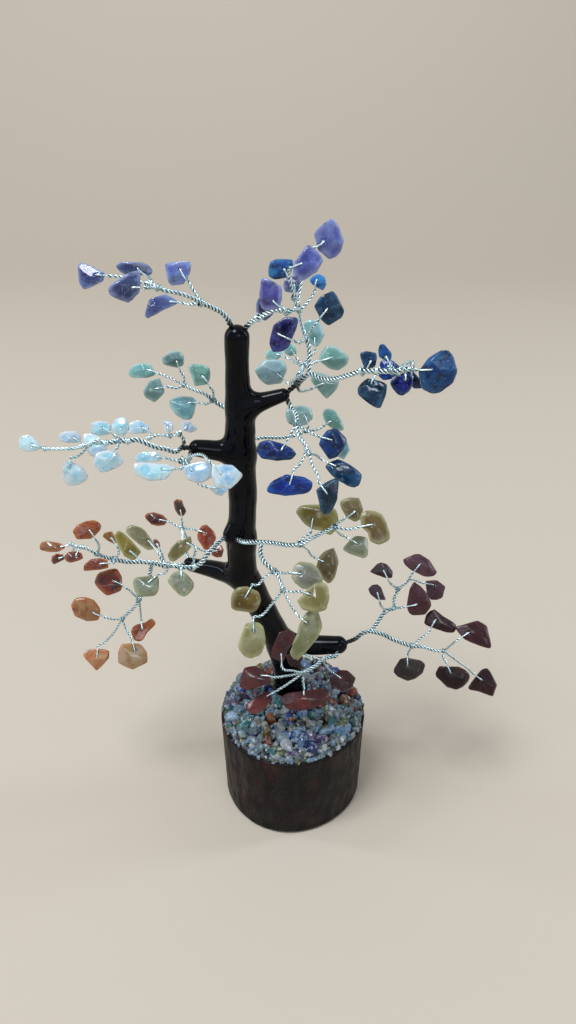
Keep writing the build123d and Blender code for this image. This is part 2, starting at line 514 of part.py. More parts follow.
               [(370, 631, 0.06), (384, 635, 0.05), (392, 639, 0.04), (402, 643, 0.04),
                (412, 646, 0.03), (423, 647, 0.03), (438, 651, 0.02), (444, 651, 0.02)]],
        groups={
            "jasper_upper_stones": [
                stone([(369, 572), (379, 562), (387, 564), (393, 571), (392, 578), (382, 578),
                       (373, 574)],
                      (384, 571), 0.14, (-10, 8), 0.55, [(398, 589), (392, 585), (389, 581)]),
                stone([(368, 589), (372, 585), (380, 584), (383, 592), (386, 600), (377, 600),
                       (371, 597)],
                      (377, 593), 0.10, (10, -6), 0.6, [(386, 611), (382, 607), (380, 603)]),
                stone([(401, 557), (407, 554), (420, 554), (431, 561), (438, 572), (434, 576),
                       (425, 577), (411, 570), (403, 563)],
                      (419, 565), 0.16, (12, 8), 0.5, [(398, 589), (406, 583), (412, 574)]),
                stone([(425, 579), (435, 578), (446, 584), (442, 600), (431, 600), (427, 595)],
                      (433, 585), 0.20, (-6, 6), 0.5, [(398, 589), (410, 580), (422, 583)]),
                stone([(415, 579), (424, 590), (431, 598), (432, 605), (425, 615), (409, 616),
                       (406, 611), (408, 597), (410, 588)],
                      (416, 604), 0.09, (8, -8), 0.5, [(394, 608), (404, 607)]),
            ],
            "jasper_right_stones": [
                stone([(424, 623), (426, 615), (433, 608), (443, 616), (458, 625), (454, 633),
                       (440, 632), (429, 628)],
                      (436, 620), 0.05, (-8, 6), 0.5, [(412, 646), (421, 638), (430, 630)]),
                stone([(454, 627), (462, 625), (483, 619), (488, 625), (492, 640), (491, 649),
                       (469, 644), (462, 640), (455, 633)],
                      (468, 633), -0.02, (14, 8), 0.5, [(444, 651), (452, 644), (459, 639)]),
                stone([(475, 676), (484, 665), (491, 672), (497, 685), (493, 697), (480, 692),
                       (467, 689)],
                      (481, 679), 0.06, (10, -8), 0.5, [(444, 651), (457, 661), (467, 668), (474, 674)]),
            ]},
        hanging={
            "jasper_hanging_inner": stone(
                [(391, 670), (400, 659), (409, 657), (418, 658), (427, 665), (423, 673),
                 (415, 679), (408, 681), (397, 677)],
                (408, 664), 0.02, (-6, -12), 0.55, [(412, 646), (409, 651), (408, 654)]),
            "jasper_hanging_outer": stone(
                [(435, 669), (440, 665), (455, 665), (466, 670), (472, 677), (464, 686),
                 (456, 690), (447, 687), (436, 677)],
                (450, 671), -0.04, (8, -14), 0.55, [(444, 651), (443, 657), (446, 662)]),
        }),
    "jasper_front": dict(
        tip="lower_right_stub",
        stems=[[(336, 656, -0.02), (330, 657, -0.03), (322, 660, -0.05), (318, 664, -0.07),
                (310, 669, -0.09), (303, 673, -0.11)]],
        groups={"jasper_front_stones": [
            stone([(270, 660), (272, 648), (279, 632), (291, 629), (297, 633), (294, 642),
                   (287, 652), (283, 664)],
                  (281, 654), -0.11, (6, 0), 0.5, [(303, 673), (293, 671), (282, 669)]),
            stone([(238, 686), (241, 674), (245, 666), (253, 664), (262, 670), (272, 676),
                   (272, 683), (258, 687), (244, 691)],
                  (262, 676), -0.19, (-10, 10), 0.5, [(303, 673), (286, 676), (274, 677)]),
            stone([(244, 706), (255, 697), (272, 688), (276, 692), (268, 705), (260, 713),
                   (252, 714), (247, 710)],
                  (267, 696), -0.22, (8, 8), 0.5, [(303, 673), (292, 681), (278, 690)]),
            stone([(276, 697), (281, 693), (305, 691), (328, 687), (331, 701), (320, 707),
                   (300, 711), (287, 709)],
                  (304, 695), -0.16, (-8, 12), 0.6, [(303, 673), (303, 682), (304, 689)]),
            stone([(329, 680), (339, 670), (347, 670), (356, 678), (351, 690), (345, 693),
                   (335, 687)],
                  (340, 678), -0.03, (12, 4), 0.5, [(322, 660), (327, 668), (333, 673)]),
            stone([(286, 655), (294, 650), (302, 648), (303, 658), (298, 668), (290, 668)],
                  (297, 657), -0.05, (-8, 0), 0.45, [(322, 660), (312, 657), (306, 655)]),
        ]},
        hanging={}),
}

GRAVEL_COLOURS = ("white", "clear_quartz", "pale_blue", "deep_blue", "orange", "green", "purple")


def polyhedron(rings, in_triangles=False):
    """Closed solid through rings of equal count, the first and last ring capped flat."""
    walls = [Face(Wire.make_polygon(rings[0], close=True)), Face(Wire.make_polygon(rings[-1], close=True))]
    for upper, lower in zip(rings, rings[1:]):
        for first in range(len(upper)):
            second = (first + 1) % len(upper)
            corners = [upper[first], upper[second], lower[second], lower[first]]
            panels = [corners[:3], corners[2:] + corners[:1]] if in_triangles else [corners]
            for panel in panels:
                walls.append(Face(Wire.make_polygon(panel, close=True)))
    return Solid(Shell(walls))


def tube(points, radius, sides):
    """Wire of even flats along straight runs: each corner slides along its run to the mitre plane."""
    runs = [(end - start).normalized() for start, end in zip(points, points[1:])]
    section = Plane(origin=points[0], z_dir=runs[0])
    corners = []
    for side in range(sides):
        angle = math.tau * side / sides
        corners.append(points[0] + (section.x_dir * math.cos(angle) + section.y_dir * math.sin(angle)) * radius)
    rings = [corners]
    for number, run in enumerate(runs):
        mitre = run + runs[min(number + 1, len(runs) - 1)]
        knee = points[number + 1]
        corners = [corner + run * ((knee - corner).dot(mitre) / run.dot(mitre)) for corner in corners]
        rings.append(corners)
    return polyhedron(rings)


def bead(centre, radius):
    """Small ball of flats, as a knot of wire or a rounded wire end."""
    rings = []
    for ring_share, height_share in BEAD_RINGS:
        ring = []
        for side in range(BEAD_SIDES):
            angle = math.tau * (side + BEAD_TURN_SHARE) / BEAD_SIDES
            ring.append(centre + Vector(math.cos(angle) * ring_share, math.sin(angle) * ring_share,
                                        height_share) * radius)
        rings.append(ring)
    return polyhedron(rings)


def between(first, second, share):
    return first + (second - first) * share


def stone_frame(row):
    """Centre, outward face direction, real outline, thickness and hole centre of one stone."""
    across = sum(pixel[0] for pixel in row["outline"]) / len(row["outline"])
    down = sum(pixel[1] for pixel in row["outline"]) / len(row["outline"])
    centre = place(across, down, row["depth_share"])
    turn, tip = row["lean"]
    face = (EYE - centre).normalized()
    level = UPRIGHT.cross(face).normalized()
    face = face.rotate(Axis((0, 0, 0), level), -tip).rotate(Axis.Z, turn)

    def on_plane(pixel):
        way = sight(*pixel)
        return EYE + way * ((centre - EYE).dot(face) / way.dot(face))

    outline = [on_plane(pixel) for pixel in row["outline"]]
    hole = on_plane(row["hole"])
    chords = []
    for first, second in zip(outline, outline[1:] + outline[:1]):
        way = between(first, second, 0.5) - centre
        ahead = 1 / edge_share(centre, face, outline, centre + way)
        behind = 1 / edge_share(centre, face, outline, centre - way)
        chords.append((ahead + behind) * way.length)
    thickness = min(chords) * row["thick_share"]
    return centre, face, outline, thickness, hole


def edge_share(centre, face, outline, point):
    """How far out a point of the stone's middle plane lies: 0 at the centre, 1 on the outline."""
    way = point - centre
    share = 0
    for first, second in zip(outline, outline[1:] + outline[:1]):
        side = second - first
        turn = way.cross(side).dot(face)
        if turn:
            reach = (first - centre).cross(side).dot(face) / turn
            along = (first - centre).cross(way).dot(face) / turn
            if reach > 0 and -ROUNDING <= along <= 1 + ROUNDING:
                share = max(share, 1 / reach)
    return share


def surface_share(share, side):
    """Share of the thickness at which the stone's front (1) or back (-1) lies, that far out."""
    rings = [ring for ring in STONE_RINGS if ring[1] * side >= 0]
    rings.sort()
    if share <= rings[0][0]:
        return rings[0][1]
    for inner, outer in zip(rings, rings[1:]):
        if share <= outer[0]:
            part = (share - inner[0]) / (outer[0] - inner[0])
            return inner[1] + (outer[1] - inner[1]) * part
    return 0


def tumbled_stone(row):
    """Faceted stone with a shoulder all round, drilled through."""
    centre, face, outline, thickness, hole = stone_frame(row)
    rings = []
    for ring_share, height_share in STONE_RINGS:
        lift = face * (height_share * thickness)
        rings.append([centre + (corner - centre) * ring_share + lift for corner in outline])
    drill = Plane(origin=hole, z_dir=face) * Cylinder(HOLE_RADIUS, 2 * thickness)
    return polyhedron(rings) - drill


def loop_places(row, loop_gap):
    """Middle line of the wire loop: over the front, through the hole and back over the rear."""
    centre, face, outline, thickness, hole = stone_frame(row)
    twig_end = row["twig"][-1]
    way = sight(*twig_end)
    target = EYE + way * ((centre - EYE).dot(face) / way.dot(face))
    outward = (target - hole).normalized()
    clear = LOOP_RADIUS + loop_gap

    def share_at(distance):
        return edge_share(centre, face, outline, hole + outward * distance)

    near, far = 0, (target - hole).length + thickness + max((c - centre).length for c in outline)
    for _ in range(HALVINGS):
        middle = (near + far) / 2
        if share_at(middle) < 1:
            near = middle
        else:
            far = middle
    rim = near
    sides = []
    for side in (1, -1):
        line = [hole + face * (surface_share(share_at(0), side) * thickness + side * clear)]
        for step_share in LOOP_STEP_SHARES:
            step = rim * step_share
            height = surface_share(share_at(step), side) * thickness
            push = clear * step_share
            line.append(hole + outward * (step + push) + face * (height + side * clear))
        sides.append(line)
    knot = hole + outward * (rim + (loop_gap + KNOT_RADIUS) * KNOT_SPREAD_SHARE)
    front, back = sides
    apart = face * (KNOT_RADIUS * LOOP_ENDS_SHARE)
    return knot, [knot + apart] + front[::-1] + back + [knot - apart]


def stem_points(branch):
    """Real points of a branch's stems. The first stem starts at its stub's surface."""
    tip_place = place(*STUB_TIPS[branch["tip"]][1])
    tip_radius = STUB_TIPS[branch["tip"]][2]
    first = place(*branch["stems"][0][0])
    root = tip_place + (first - tip_place).normalized() * tip_radius
    stems = [[place(*knot) for knot in stem] for stem in branch["stems"]]
    stems[0].insert(0, root)
    return root, stems


def knot_depth(branch, pixel):
    for stem in branch["stems"]:
        for across, down, depth_share in stem:
            if (across, down) == tuple(pixel):
                return depth_share
    raise ValueError(f"no stem point at {pixel}")


def twig_points(branch, row, end):
    """Real points of one stone's wire, its depth shared out evenly from the stem to the stone."""
    start_depth = knot_depth(branch, row["twig"][0])
    end_depth = end.Y / REACH
    count = len(row["twig"])
    points = []
    for step, pixel in enumerate(row["twig"][:-1]):
        part = step / (count - 1)
        points.append(place(*pixel, start_depth + (end_depth - start_depth) * part))
    return points + [end]


def branch_wire(branch):
    """All wire of one branch as one solid: root ball, stems, twigs and loops."""
    root, stems = stem_points(branch)
    parts = [bead(root, ROOT_BALL_RADIUS), tube(stems[0], STEM_RADIUS, WIRE_SIDES)]
    for fork in stems[1:]:
        parts.append(tube(fork, FORK_RADIUS, WIRE_SIDES))
    for row in branch_stones(branch):
        gap = SWING_GAP if row in branch["hanging"].values() else LOOP_GAP
        knot, loop = loop_places(row, gap)
        parts.append(tube(twig_points(branch, row, knot), TWIG_RADIUS, TWIG_SIDES))
        parts.append(bead(knot, KNOT_RADIUS))
        parts.append(tube(loop, LOOP_RADIUS, LOOP_SIDES))
    return join(parts)


def branch_stones(branch):
    rows = [row for group in branch["groups"].values() for row in group]
    return rows + list(branch["hanging"].values())


def log_outline(radius, height):
    """Closed wavy outline of the log at one height."""
    points = []
    for step, lump in enumerate(LOG_LUMP_SHARES):
        angle = math.tau * step / len(LOG_LUMP_SHARES)
        points.append(Vector(radius * lump * math.cos(angle), radius * lump * math.sin(angle), height))
    return Face(Wire(Spline(*points, periodic=True)))


def trunk_radius(share):
    return TRUNK_TOP_RADIUS + (TRUNK_FOOT_RADIUS - TRUNK_TOP_RADIUS) * share


def trunk_line():
    """Middle line and radii of the trunk, down to the top of the log."""
    points = [place(across, down, depth) for across, down, depth, _ in TRUNK_STATIONS]
    radii = [trunk_radius(station[3]) for station in TRUNK_STATIONS]
    foot = Vector(points[-1].X, points[-1].Y, LOG_HEIGHT)
    return points + [foot], radii + [radii[-1]]


def round_form(points, radii, sides, aside):
    """Closed round form along a line, with a dome over its first point.

    Each ring of corners lies in the plane that halves the turn there. Its first corner is on the
    side that aside names.
    """
    over = (points[0] - points[1]).normalized() * radii[0]
    line = [points[0] + over * rise_share for _, rise_share in DOME_SHARES] + points
    widths = [radii[0] * width_share for width_share, _ in DOME_SHARES] + radii
    runs = [(after - before).normalized() for before, after in zip(line, line[1:])]
    rings = []
    for number, (point, radius) in enumerate(zip(line, widths)):
        halfway = runs[max(number - 1, 0)] + runs[min(number, len(runs) - 1)]
        section = Plane(origin=point, x_dir=aside, z_dir=halfway)
        ring = []
        for side in range(sides):
            angle = math.tau * side / sides
            ring.append(point + (section.x_dir * math.cos(angle) + section.y_dir * math.sin(angle)) * radius)
        rings.append(ring)
    return polyhedron(rings, in_triangles=True)


def join(parts):
    return parts[0].fuse(*parts[1:])


def make_armature():
    """Steel wire bundle inside the trunk and its stubs, down into the log."""
    points, radii = trunk_line()
    buried_foot = points[-1] - UPRIGHT * CORE_FOOT_DEPTH
    core_radii = [radius - COAT_WALL for radius in radii]
    parts = [round_form(points[:-1] + [buried_foot], core_radii, TRUNK_SIDES, SIDEWAYS)]
    for root, tip, tip_radius in STUB_TIPS.values():
        if root != tip:
            radius = tip_radius * STUB_CORE_SHARE
            end = between(place(*root), place(*tip), STUB_CORE_REACH_SHARE)
            parts.append(round_form([end, place(*root)], [radius, radius * STUB_FLARE_SHARE],
                                    STUB_SIDES, UPRIGHT))
    return join(parts)


def make_coat(armature):
    """Black resin over the armature, with a drilled seat at each place where a branch leaves."""
    points, radii = trunk_line()
    parts = [round_form(points, radii, TRUNK_SIDES, SIDEWAYS)]
    for root, tip, tip_radius in STUB_TIPS.values():
        if root != tip:
            root_radius = min(STUB_ROOT_RADIUS, tip_radius * STUB_FLARE_SHARE)
            parts.append(round_form([place(*tip), place(*root)], [tip_radius, root_radius],
                                    STUB_SIDES, UPRIGHT))
    coat = join(parts).cut(armature)
    seat_radius = ROOT_BALL_RADIUS + SOCKET_GAP
    for branch in BRANCHES.values():
        root, stems = stem_points(branch)
        way = (stems[0][1] - root).normalized() * seat_radius
        coat = coat.cut(tube([root - way, root + way], seat_radius, SEAT_SIDES))
    return coat


def make_log():
    """Turned branch wood, a little wavy, with a drilled hole for the armature."""
    sides = [log_outline(LOG_RADIUS * LOG_FOOT_SHARE, 0), log_outline(LOG_RADIUS, LOG_HEIGHT)]
    wood = loft(sides)
    foot = trunk_line()[0][-1]
    hole_radius = TRUNK_FOOT_RADIUS - COAT_WALL + FIT_GAP
    hole = Pos(foot) * Cylinder(hole_radius, CORE_FOOT_DEPTH + FIT_GAP,
                                align=(Align.CENTER, Align.CENTER, Align.MAX))
    return wood - hole


def make_bed():
    """Clear glue bed on the log, round the trunk's foot."""
    bed = extrude(log_outline(LOG_RADIUS - BED_INSET, LOG_HEIGHT), BED_HEIGHT)
    foot = trunk_line()[0][-1]
    hole = Pos(foot) * Cylinder(TRUNK_FOOT_RADIUS + FIT_GAP, 4 * BED_HEIGHT)
    return bed - hole


def make_gravel():
    """Gem gravel in rings by the golden angle, taller towards the middle, sorted by colour."""
    field = LOG_RADIUS - BED_INSET - GRAVEL_PITCH / 2
    count = round(math.pi * (field / GRAVEL_PITCH) ** 2 * GRAVEL_PACKING_SHARE)
    foot = trunk_line()[0][-1]
    groups = {colour: [] for colour in GRAVEL_COLOURS}
    for number in range(count):
        away_share = math.sqrt((number + 0.5) / count)
        angle = math.radians(GOLDEN_TURN_DEG) * number
        middle = Vector(field * away_share * math.cos(angle), field * away_share * math.sin(angle), 0)
        radius = GRAVEL_PITCH / 2 - GRAVEL_GAP / 2
        clear = math.hypot(middle.X - foot.X, middle.Y - foot.Y) - TRUNK_FOOT_RADIUS - radius
        if clear < GRAVEL_GAP:
            continue
        height = GRAVEL_RIM_HEIGHT + (GRAVEL_HEAP_HEIGHT - GRAVEL_RIM_HEIGHT) * (1 - away_share ** 2)
        rings = []
        for ring_share, height_share in GRAVEL_RINGS:
            level = LOG_HEIGHT + BED_HEIGHT + height * height_share
            corners = []
            for side in range(GRAVEL_SIDES):
                turn = math.tau * side / GRAVEL_SIDES + number
                reach = radius * ring_share * (1 - GRAVEL_LUMP_SHARE * math.sin(2 * turn + number) ** 2)
                corners.append(middle + Vector(reach * math.cos(turn), reach * math.sin(turn), level))
            rings.append(corners)
        colour = GRAVEL_COLOURS[number * 3 % len(GRAVEL_COLOURS)]
        groups[colour].append(polyhedron(rings))
    return groups


def save(node, shape):
    shape.label = node
    export_step(shape, f"parts/{node}.step", write_pcurves=False)


def main():
    os.makedirs("parts", exist_ok=True)
    armature = make_armature()
    save("wire_armature", armature)
    save("trunk_coat", make_coat(armature))
    save("log_base", make_log())
    save("glue_bed", make_bed())
    for colour, stones in make_gravel().items():
        save(f"gravel_{colour}", Compound(children=stones))
    for name, branch in BRANCHES.items():
        save(f"{name}_wire", branch_wire(branch))
        for node, rows in branch["groups"].items():
            save(node, Compound(children=[tumbled_stone(row) for row in rows]))
        for node, row in branch["hanging"].items():
            save(node, tumbled_stone(row))


if __name__ == "__main__":
    main()
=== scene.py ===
# %% [markdown]
# # A gemstone tree
#
# The object is a small tree that somebody twisted by hand. Silver craft wire makes the branches, and
# each pair of wires ends in a loop through a drilled, tumbled stone. The trunk is a bundle of wire
# under black resin, and it stands in a sawn piece of log with a heap of gem gravel on it.
#
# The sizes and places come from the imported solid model, which is loaded here as a fixed frame. Nothing
# in it is moved. This file only gives each piece its real surface and its finish.

import json
import math

import bpy
import numpy as np
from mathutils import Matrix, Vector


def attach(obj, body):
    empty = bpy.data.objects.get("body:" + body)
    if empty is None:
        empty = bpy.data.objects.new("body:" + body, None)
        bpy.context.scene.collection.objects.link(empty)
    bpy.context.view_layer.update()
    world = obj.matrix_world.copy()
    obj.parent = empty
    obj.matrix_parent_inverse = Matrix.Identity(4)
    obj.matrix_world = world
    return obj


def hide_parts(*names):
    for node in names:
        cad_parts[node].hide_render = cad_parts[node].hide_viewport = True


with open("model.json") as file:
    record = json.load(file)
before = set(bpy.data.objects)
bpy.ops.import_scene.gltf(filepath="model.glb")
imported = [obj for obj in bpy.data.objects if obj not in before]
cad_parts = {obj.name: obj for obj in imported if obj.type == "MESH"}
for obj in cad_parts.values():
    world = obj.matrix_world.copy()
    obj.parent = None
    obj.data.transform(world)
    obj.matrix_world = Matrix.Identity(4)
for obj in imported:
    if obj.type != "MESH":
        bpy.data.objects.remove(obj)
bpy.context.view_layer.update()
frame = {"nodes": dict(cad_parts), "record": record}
SLOT_OF = {row["node"]: row["material_slot"] for row in frame["record"]["subparts"]}
BODIES = frame["record"]["behaviour"]["bodies"]
BODY_OF = {node: body for body, nodes in BODIES.items() for node in nodes}

# %% [markdown]
# ## Lines of sight
#
# Every stone and every bend of wire was placed by its pixel in the picture, 576 pixels wide and 1024
# tall. A pixel gives a line of sight from the eye, and a share of depth says where on that line the
# thing is. Placing them one by one in a viewport would work too, but the picture would then be matched
# by eye. The same eye, tilt and focal length set the camera at the end.

# %% Sizes shared with the solid model, in millimetres
MM = 0.001
LOG_RADIUS = 31.0
LOG_HEIGHT = 43.0
LOG_FOOT_SHARE = 0.965
LOG_LUMP_SHARES = (1.0, 0.985, 1.0, 1.015, 0.99, 0.975, 0.99, 1.0, 1.012, 1.0, 0.982, 0.995)
BED_INSET = 1.2
BED_HEIGHT = 1.5
GRAVEL_PITCH = 5.3
GRAVEL_RIM_HEIGHT = 3.2
GRAVEL_HEAP_HEIGHT = 7.0
GOLDEN_TURN = math.radians(137.508)
REACH = 100.0  # a share of depth is a share of this
TRUNK_TOP_RADIUS = 4.2
TRUNK_FOOT_RADIUS = 6.4
CORE_RADIUS = 4.85
CORE_FOOT_DEPTH = 18.0
STONE_RINGS = ((0.46, 0.5), (0.83, 0.31), (1.0, 0.0), (0.8, -0.31), (0.42, -0.5))

FRAME_WIDE_PX = 576
FRAME_TALL_PX = 1024
FOCAL_PX = 780
LOOK_DOWN = math.radians(30.9)
EYE = np.array([-0.019 * REACH, -2.45 * REACH, LOG_HEIGHT + 2.456 * REACH])
AHEAD = np.array([0, math.cos(LOOK_DOWN), -math.sin(LOOK_DOWN)])
UPWARD = np.array([0, math.sin(LOOK_DOWN), math.cos(LOOK_DOWN)])
SIDEWAYS = np.array([1.0, 0, 0])
UPRIGHT = np.array([0, 0, 1.0])
print("eye", EYE)

# %% From a pixel to a place
def unit(vectors):
    """Each vector divided by its own length."""
    return vectors / np.linalg.norm(vectors, axis=-1, keepdims=True)


def sight(pixels):
    """Lines of sight: straight ahead, plus how far each pixel is right of the middle and above it."""
    across, down = np.moveaxis(np.asarray(pixels, float), -1, 0)
    right = (across - FRAME_WIDE_PX / 2)[..., None] * SIDEWAYS
    up = (FRAME_TALL_PX / 2 - down)[..., None] * UPWARD
    return AHEAD * FOCAL_PX + right + up


def place(across, down, depth_share):
    """The point of a line of sight that lies on the upright plane at that share of depth."""
    way = sight((across, down))
    return EYE + way * ((depth_share * REACH - EYE[1]) / way[1])


print("middle of the frame at the trunk's depth", place(FRAME_WIDE_PX / 2, FRAME_TALL_PX / 2, 0))

# %% [markdown]
# ## The trunk's stations and the branches
#
# These are the places, taken from the picture. A station of the trunk is a pixel across, a
# pixel down, a share of depth and a share between the two radii. A stone is the outline of its
# widest section, its drilled hole, its depth, the lean of its face, its thickness and its wire's way
# from the branch.

# %% The trunk and its stubs
TRUNK_STATIONS = (
    (237, 337, 0.0, 0.0), (237, 372, 0.01, 0.0), (239, 410, 0.02, 0.2), (241, 450, 0.02, 0.5),
    (243, 500, 0.03, 0.5), (241, 545, 0.04, 0.6), (243, 572, 0.045, 0.75), (258, 601, 0.055, 0.65),
    (278, 638, 0.065, 0.7), (288, 668, 0.075, 0.8), (290, 690, 0.08, 1.0),
)

# Where each stub's round tip is, and how far from there its wires come out
STUB_TIPS = {
    "trunk_top": ((237, 337, 0.0), TRUNK_TOP_RADIUS),
    "upper_right_stub": ((284, 394.5, 0.02), 2.2),
    "left_stub": ((192, 447.5, -0.02), 2.2),
    "back_stub": ((240, 421, 0.18), 3.2),
    "front_lump": ((231, 536, -0.005), 2.9),
    "lower_left_stub": ((190, 564, 0.16), 2.7),
    "lower_right_stub": ((340, 645, 0.03), 3.0),
}
print("stations", len(TRUNK_STATIONS), "stubs", len(STUB_TIPS) - 1)

# %% A stone and a branch
BRANCHES = {}


def stone(outline, hole, depth_share, lean, thick_share, twig):
    """One stone: its outline's pixels, its hole's pixel, its depth, lean and thickness, its wire."""
    return dict(outline=outline, hole=hole, depth_share=depth_share, lean=lean,
                thick_share=thick_share, twig=twig)


def add_branch(name, tip, stems, groups, hanging=None):
    """One branch: its stub, the bends of its stems, its packed stones and those that hang clear."""
    BRANCHES[name] = dict(tip=tip, stems=stems, groups=groups, hanging=hanging or {})
    print(name, "has", len(stems), "stems and", sum(map(len, groups.values())), "packed stones")


print("branches so far", len(BRANCHES))

# %% Amethysts on the left of the trunk's top
add_branch("amethyst_left", "trunk_top", stems=[
    [(226, 317, -0.01), (213, 308, -0.04), (201, 303, -0.07), (190, 297, -0.1), (178, 293, -0.12),
     (167, 291, -0.14), (158, 288, -0.15), (148, 284, -0.16)],
], groups={
    "amethyst_left_stones": [
        stone([(164, 262), (192, 261), (190, 273), (184, 284), (172, 286), (168, 282)], (181, 269), -0.04,
              (-14, -8), 0.6, [(201, 303), (194, 291), (188, 281)]),
        stone([(152, 295), (165, 294), (175, 298), (179, 303), (160, 312), (149, 319), (143, 319),
              (142, 313)], (170, 302), -0.06, (8, 10), 0.55, [(201, 303), (190, 304), (183, 303)]),
        stone([(110, 268), (119, 262), (141, 262), (156, 267), (152, 275), (128, 276)], (138, 268), -0.1,
              (-8, -12), 0.6, [(158, 288), (151, 281), (147, 276)]),
        stone([(105, 290), (113, 283), (130, 272), (140, 270), (141, 284), (139, 293), (129, 304),
              (115, 300)], (132, 288), -0.26, (10, 6), 0.5, [(158, 288), (150, 288), (143, 288)]),
        stone([(77, 262), (82, 262), (106, 273), (104, 281), (90, 288), (83, 290), (79, 283)], (98, 275),
              -0.17, (-16, 4), 0.6, [(148, 284), (130, 279), (120, 277), (109, 276)]),
    ],
})

# %% Amethysts on the right of the trunk's top
add_branch("amethyst_right", "trunk_top", stems=[
    [(250, 323, 0.0), (258, 318, -0.02), (266, 314, -0.04), (278, 310, -0.06), (286, 312, -0.07),
     (297, 307, -0.08), (294, 298, -0.09)],
], groups={
    "amethyst_right_stones": [
        stone([(314, 234), (323, 221), (332, 218), (338, 223), (344, 240), (341, 252), (332, 262),
              (318, 250)], (323, 241), -0.04, (14, -10), 0.6, [(297, 307), (300, 290), (305, 265),
              (314, 248)]),
        stone([(294, 262), (309, 242), (322, 252), (325, 258), (317, 272), (303, 281), (293, 276)],
              (302, 264), -0.14, (-12, 4), 0.6, [(294, 298), (291, 285), (289, 273), (291, 268)]),
        stone([(282, 282), (286, 275), (302, 278), (301, 290), (296, 293), (285, 292)], (294, 286), -0.05,
              (6, 10), 0.6, [(294, 298), (295, 295)]),
        stone([(259, 277), (270, 279), (282, 287), (282, 300), (279, 309), (262, 311), (259, 300)],
              (274, 301), -0.12, (-8, -6), 0.55, [(286, 312), (283, 309)]),
        stone([(256, 297), (262, 296), (282, 303), (276, 314), (265, 321), (259, 318), (256, 311)],
              (266, 311), 0.03, (4, -10), 0.5, [(258, 318), (258, 319)]),
    ],
})

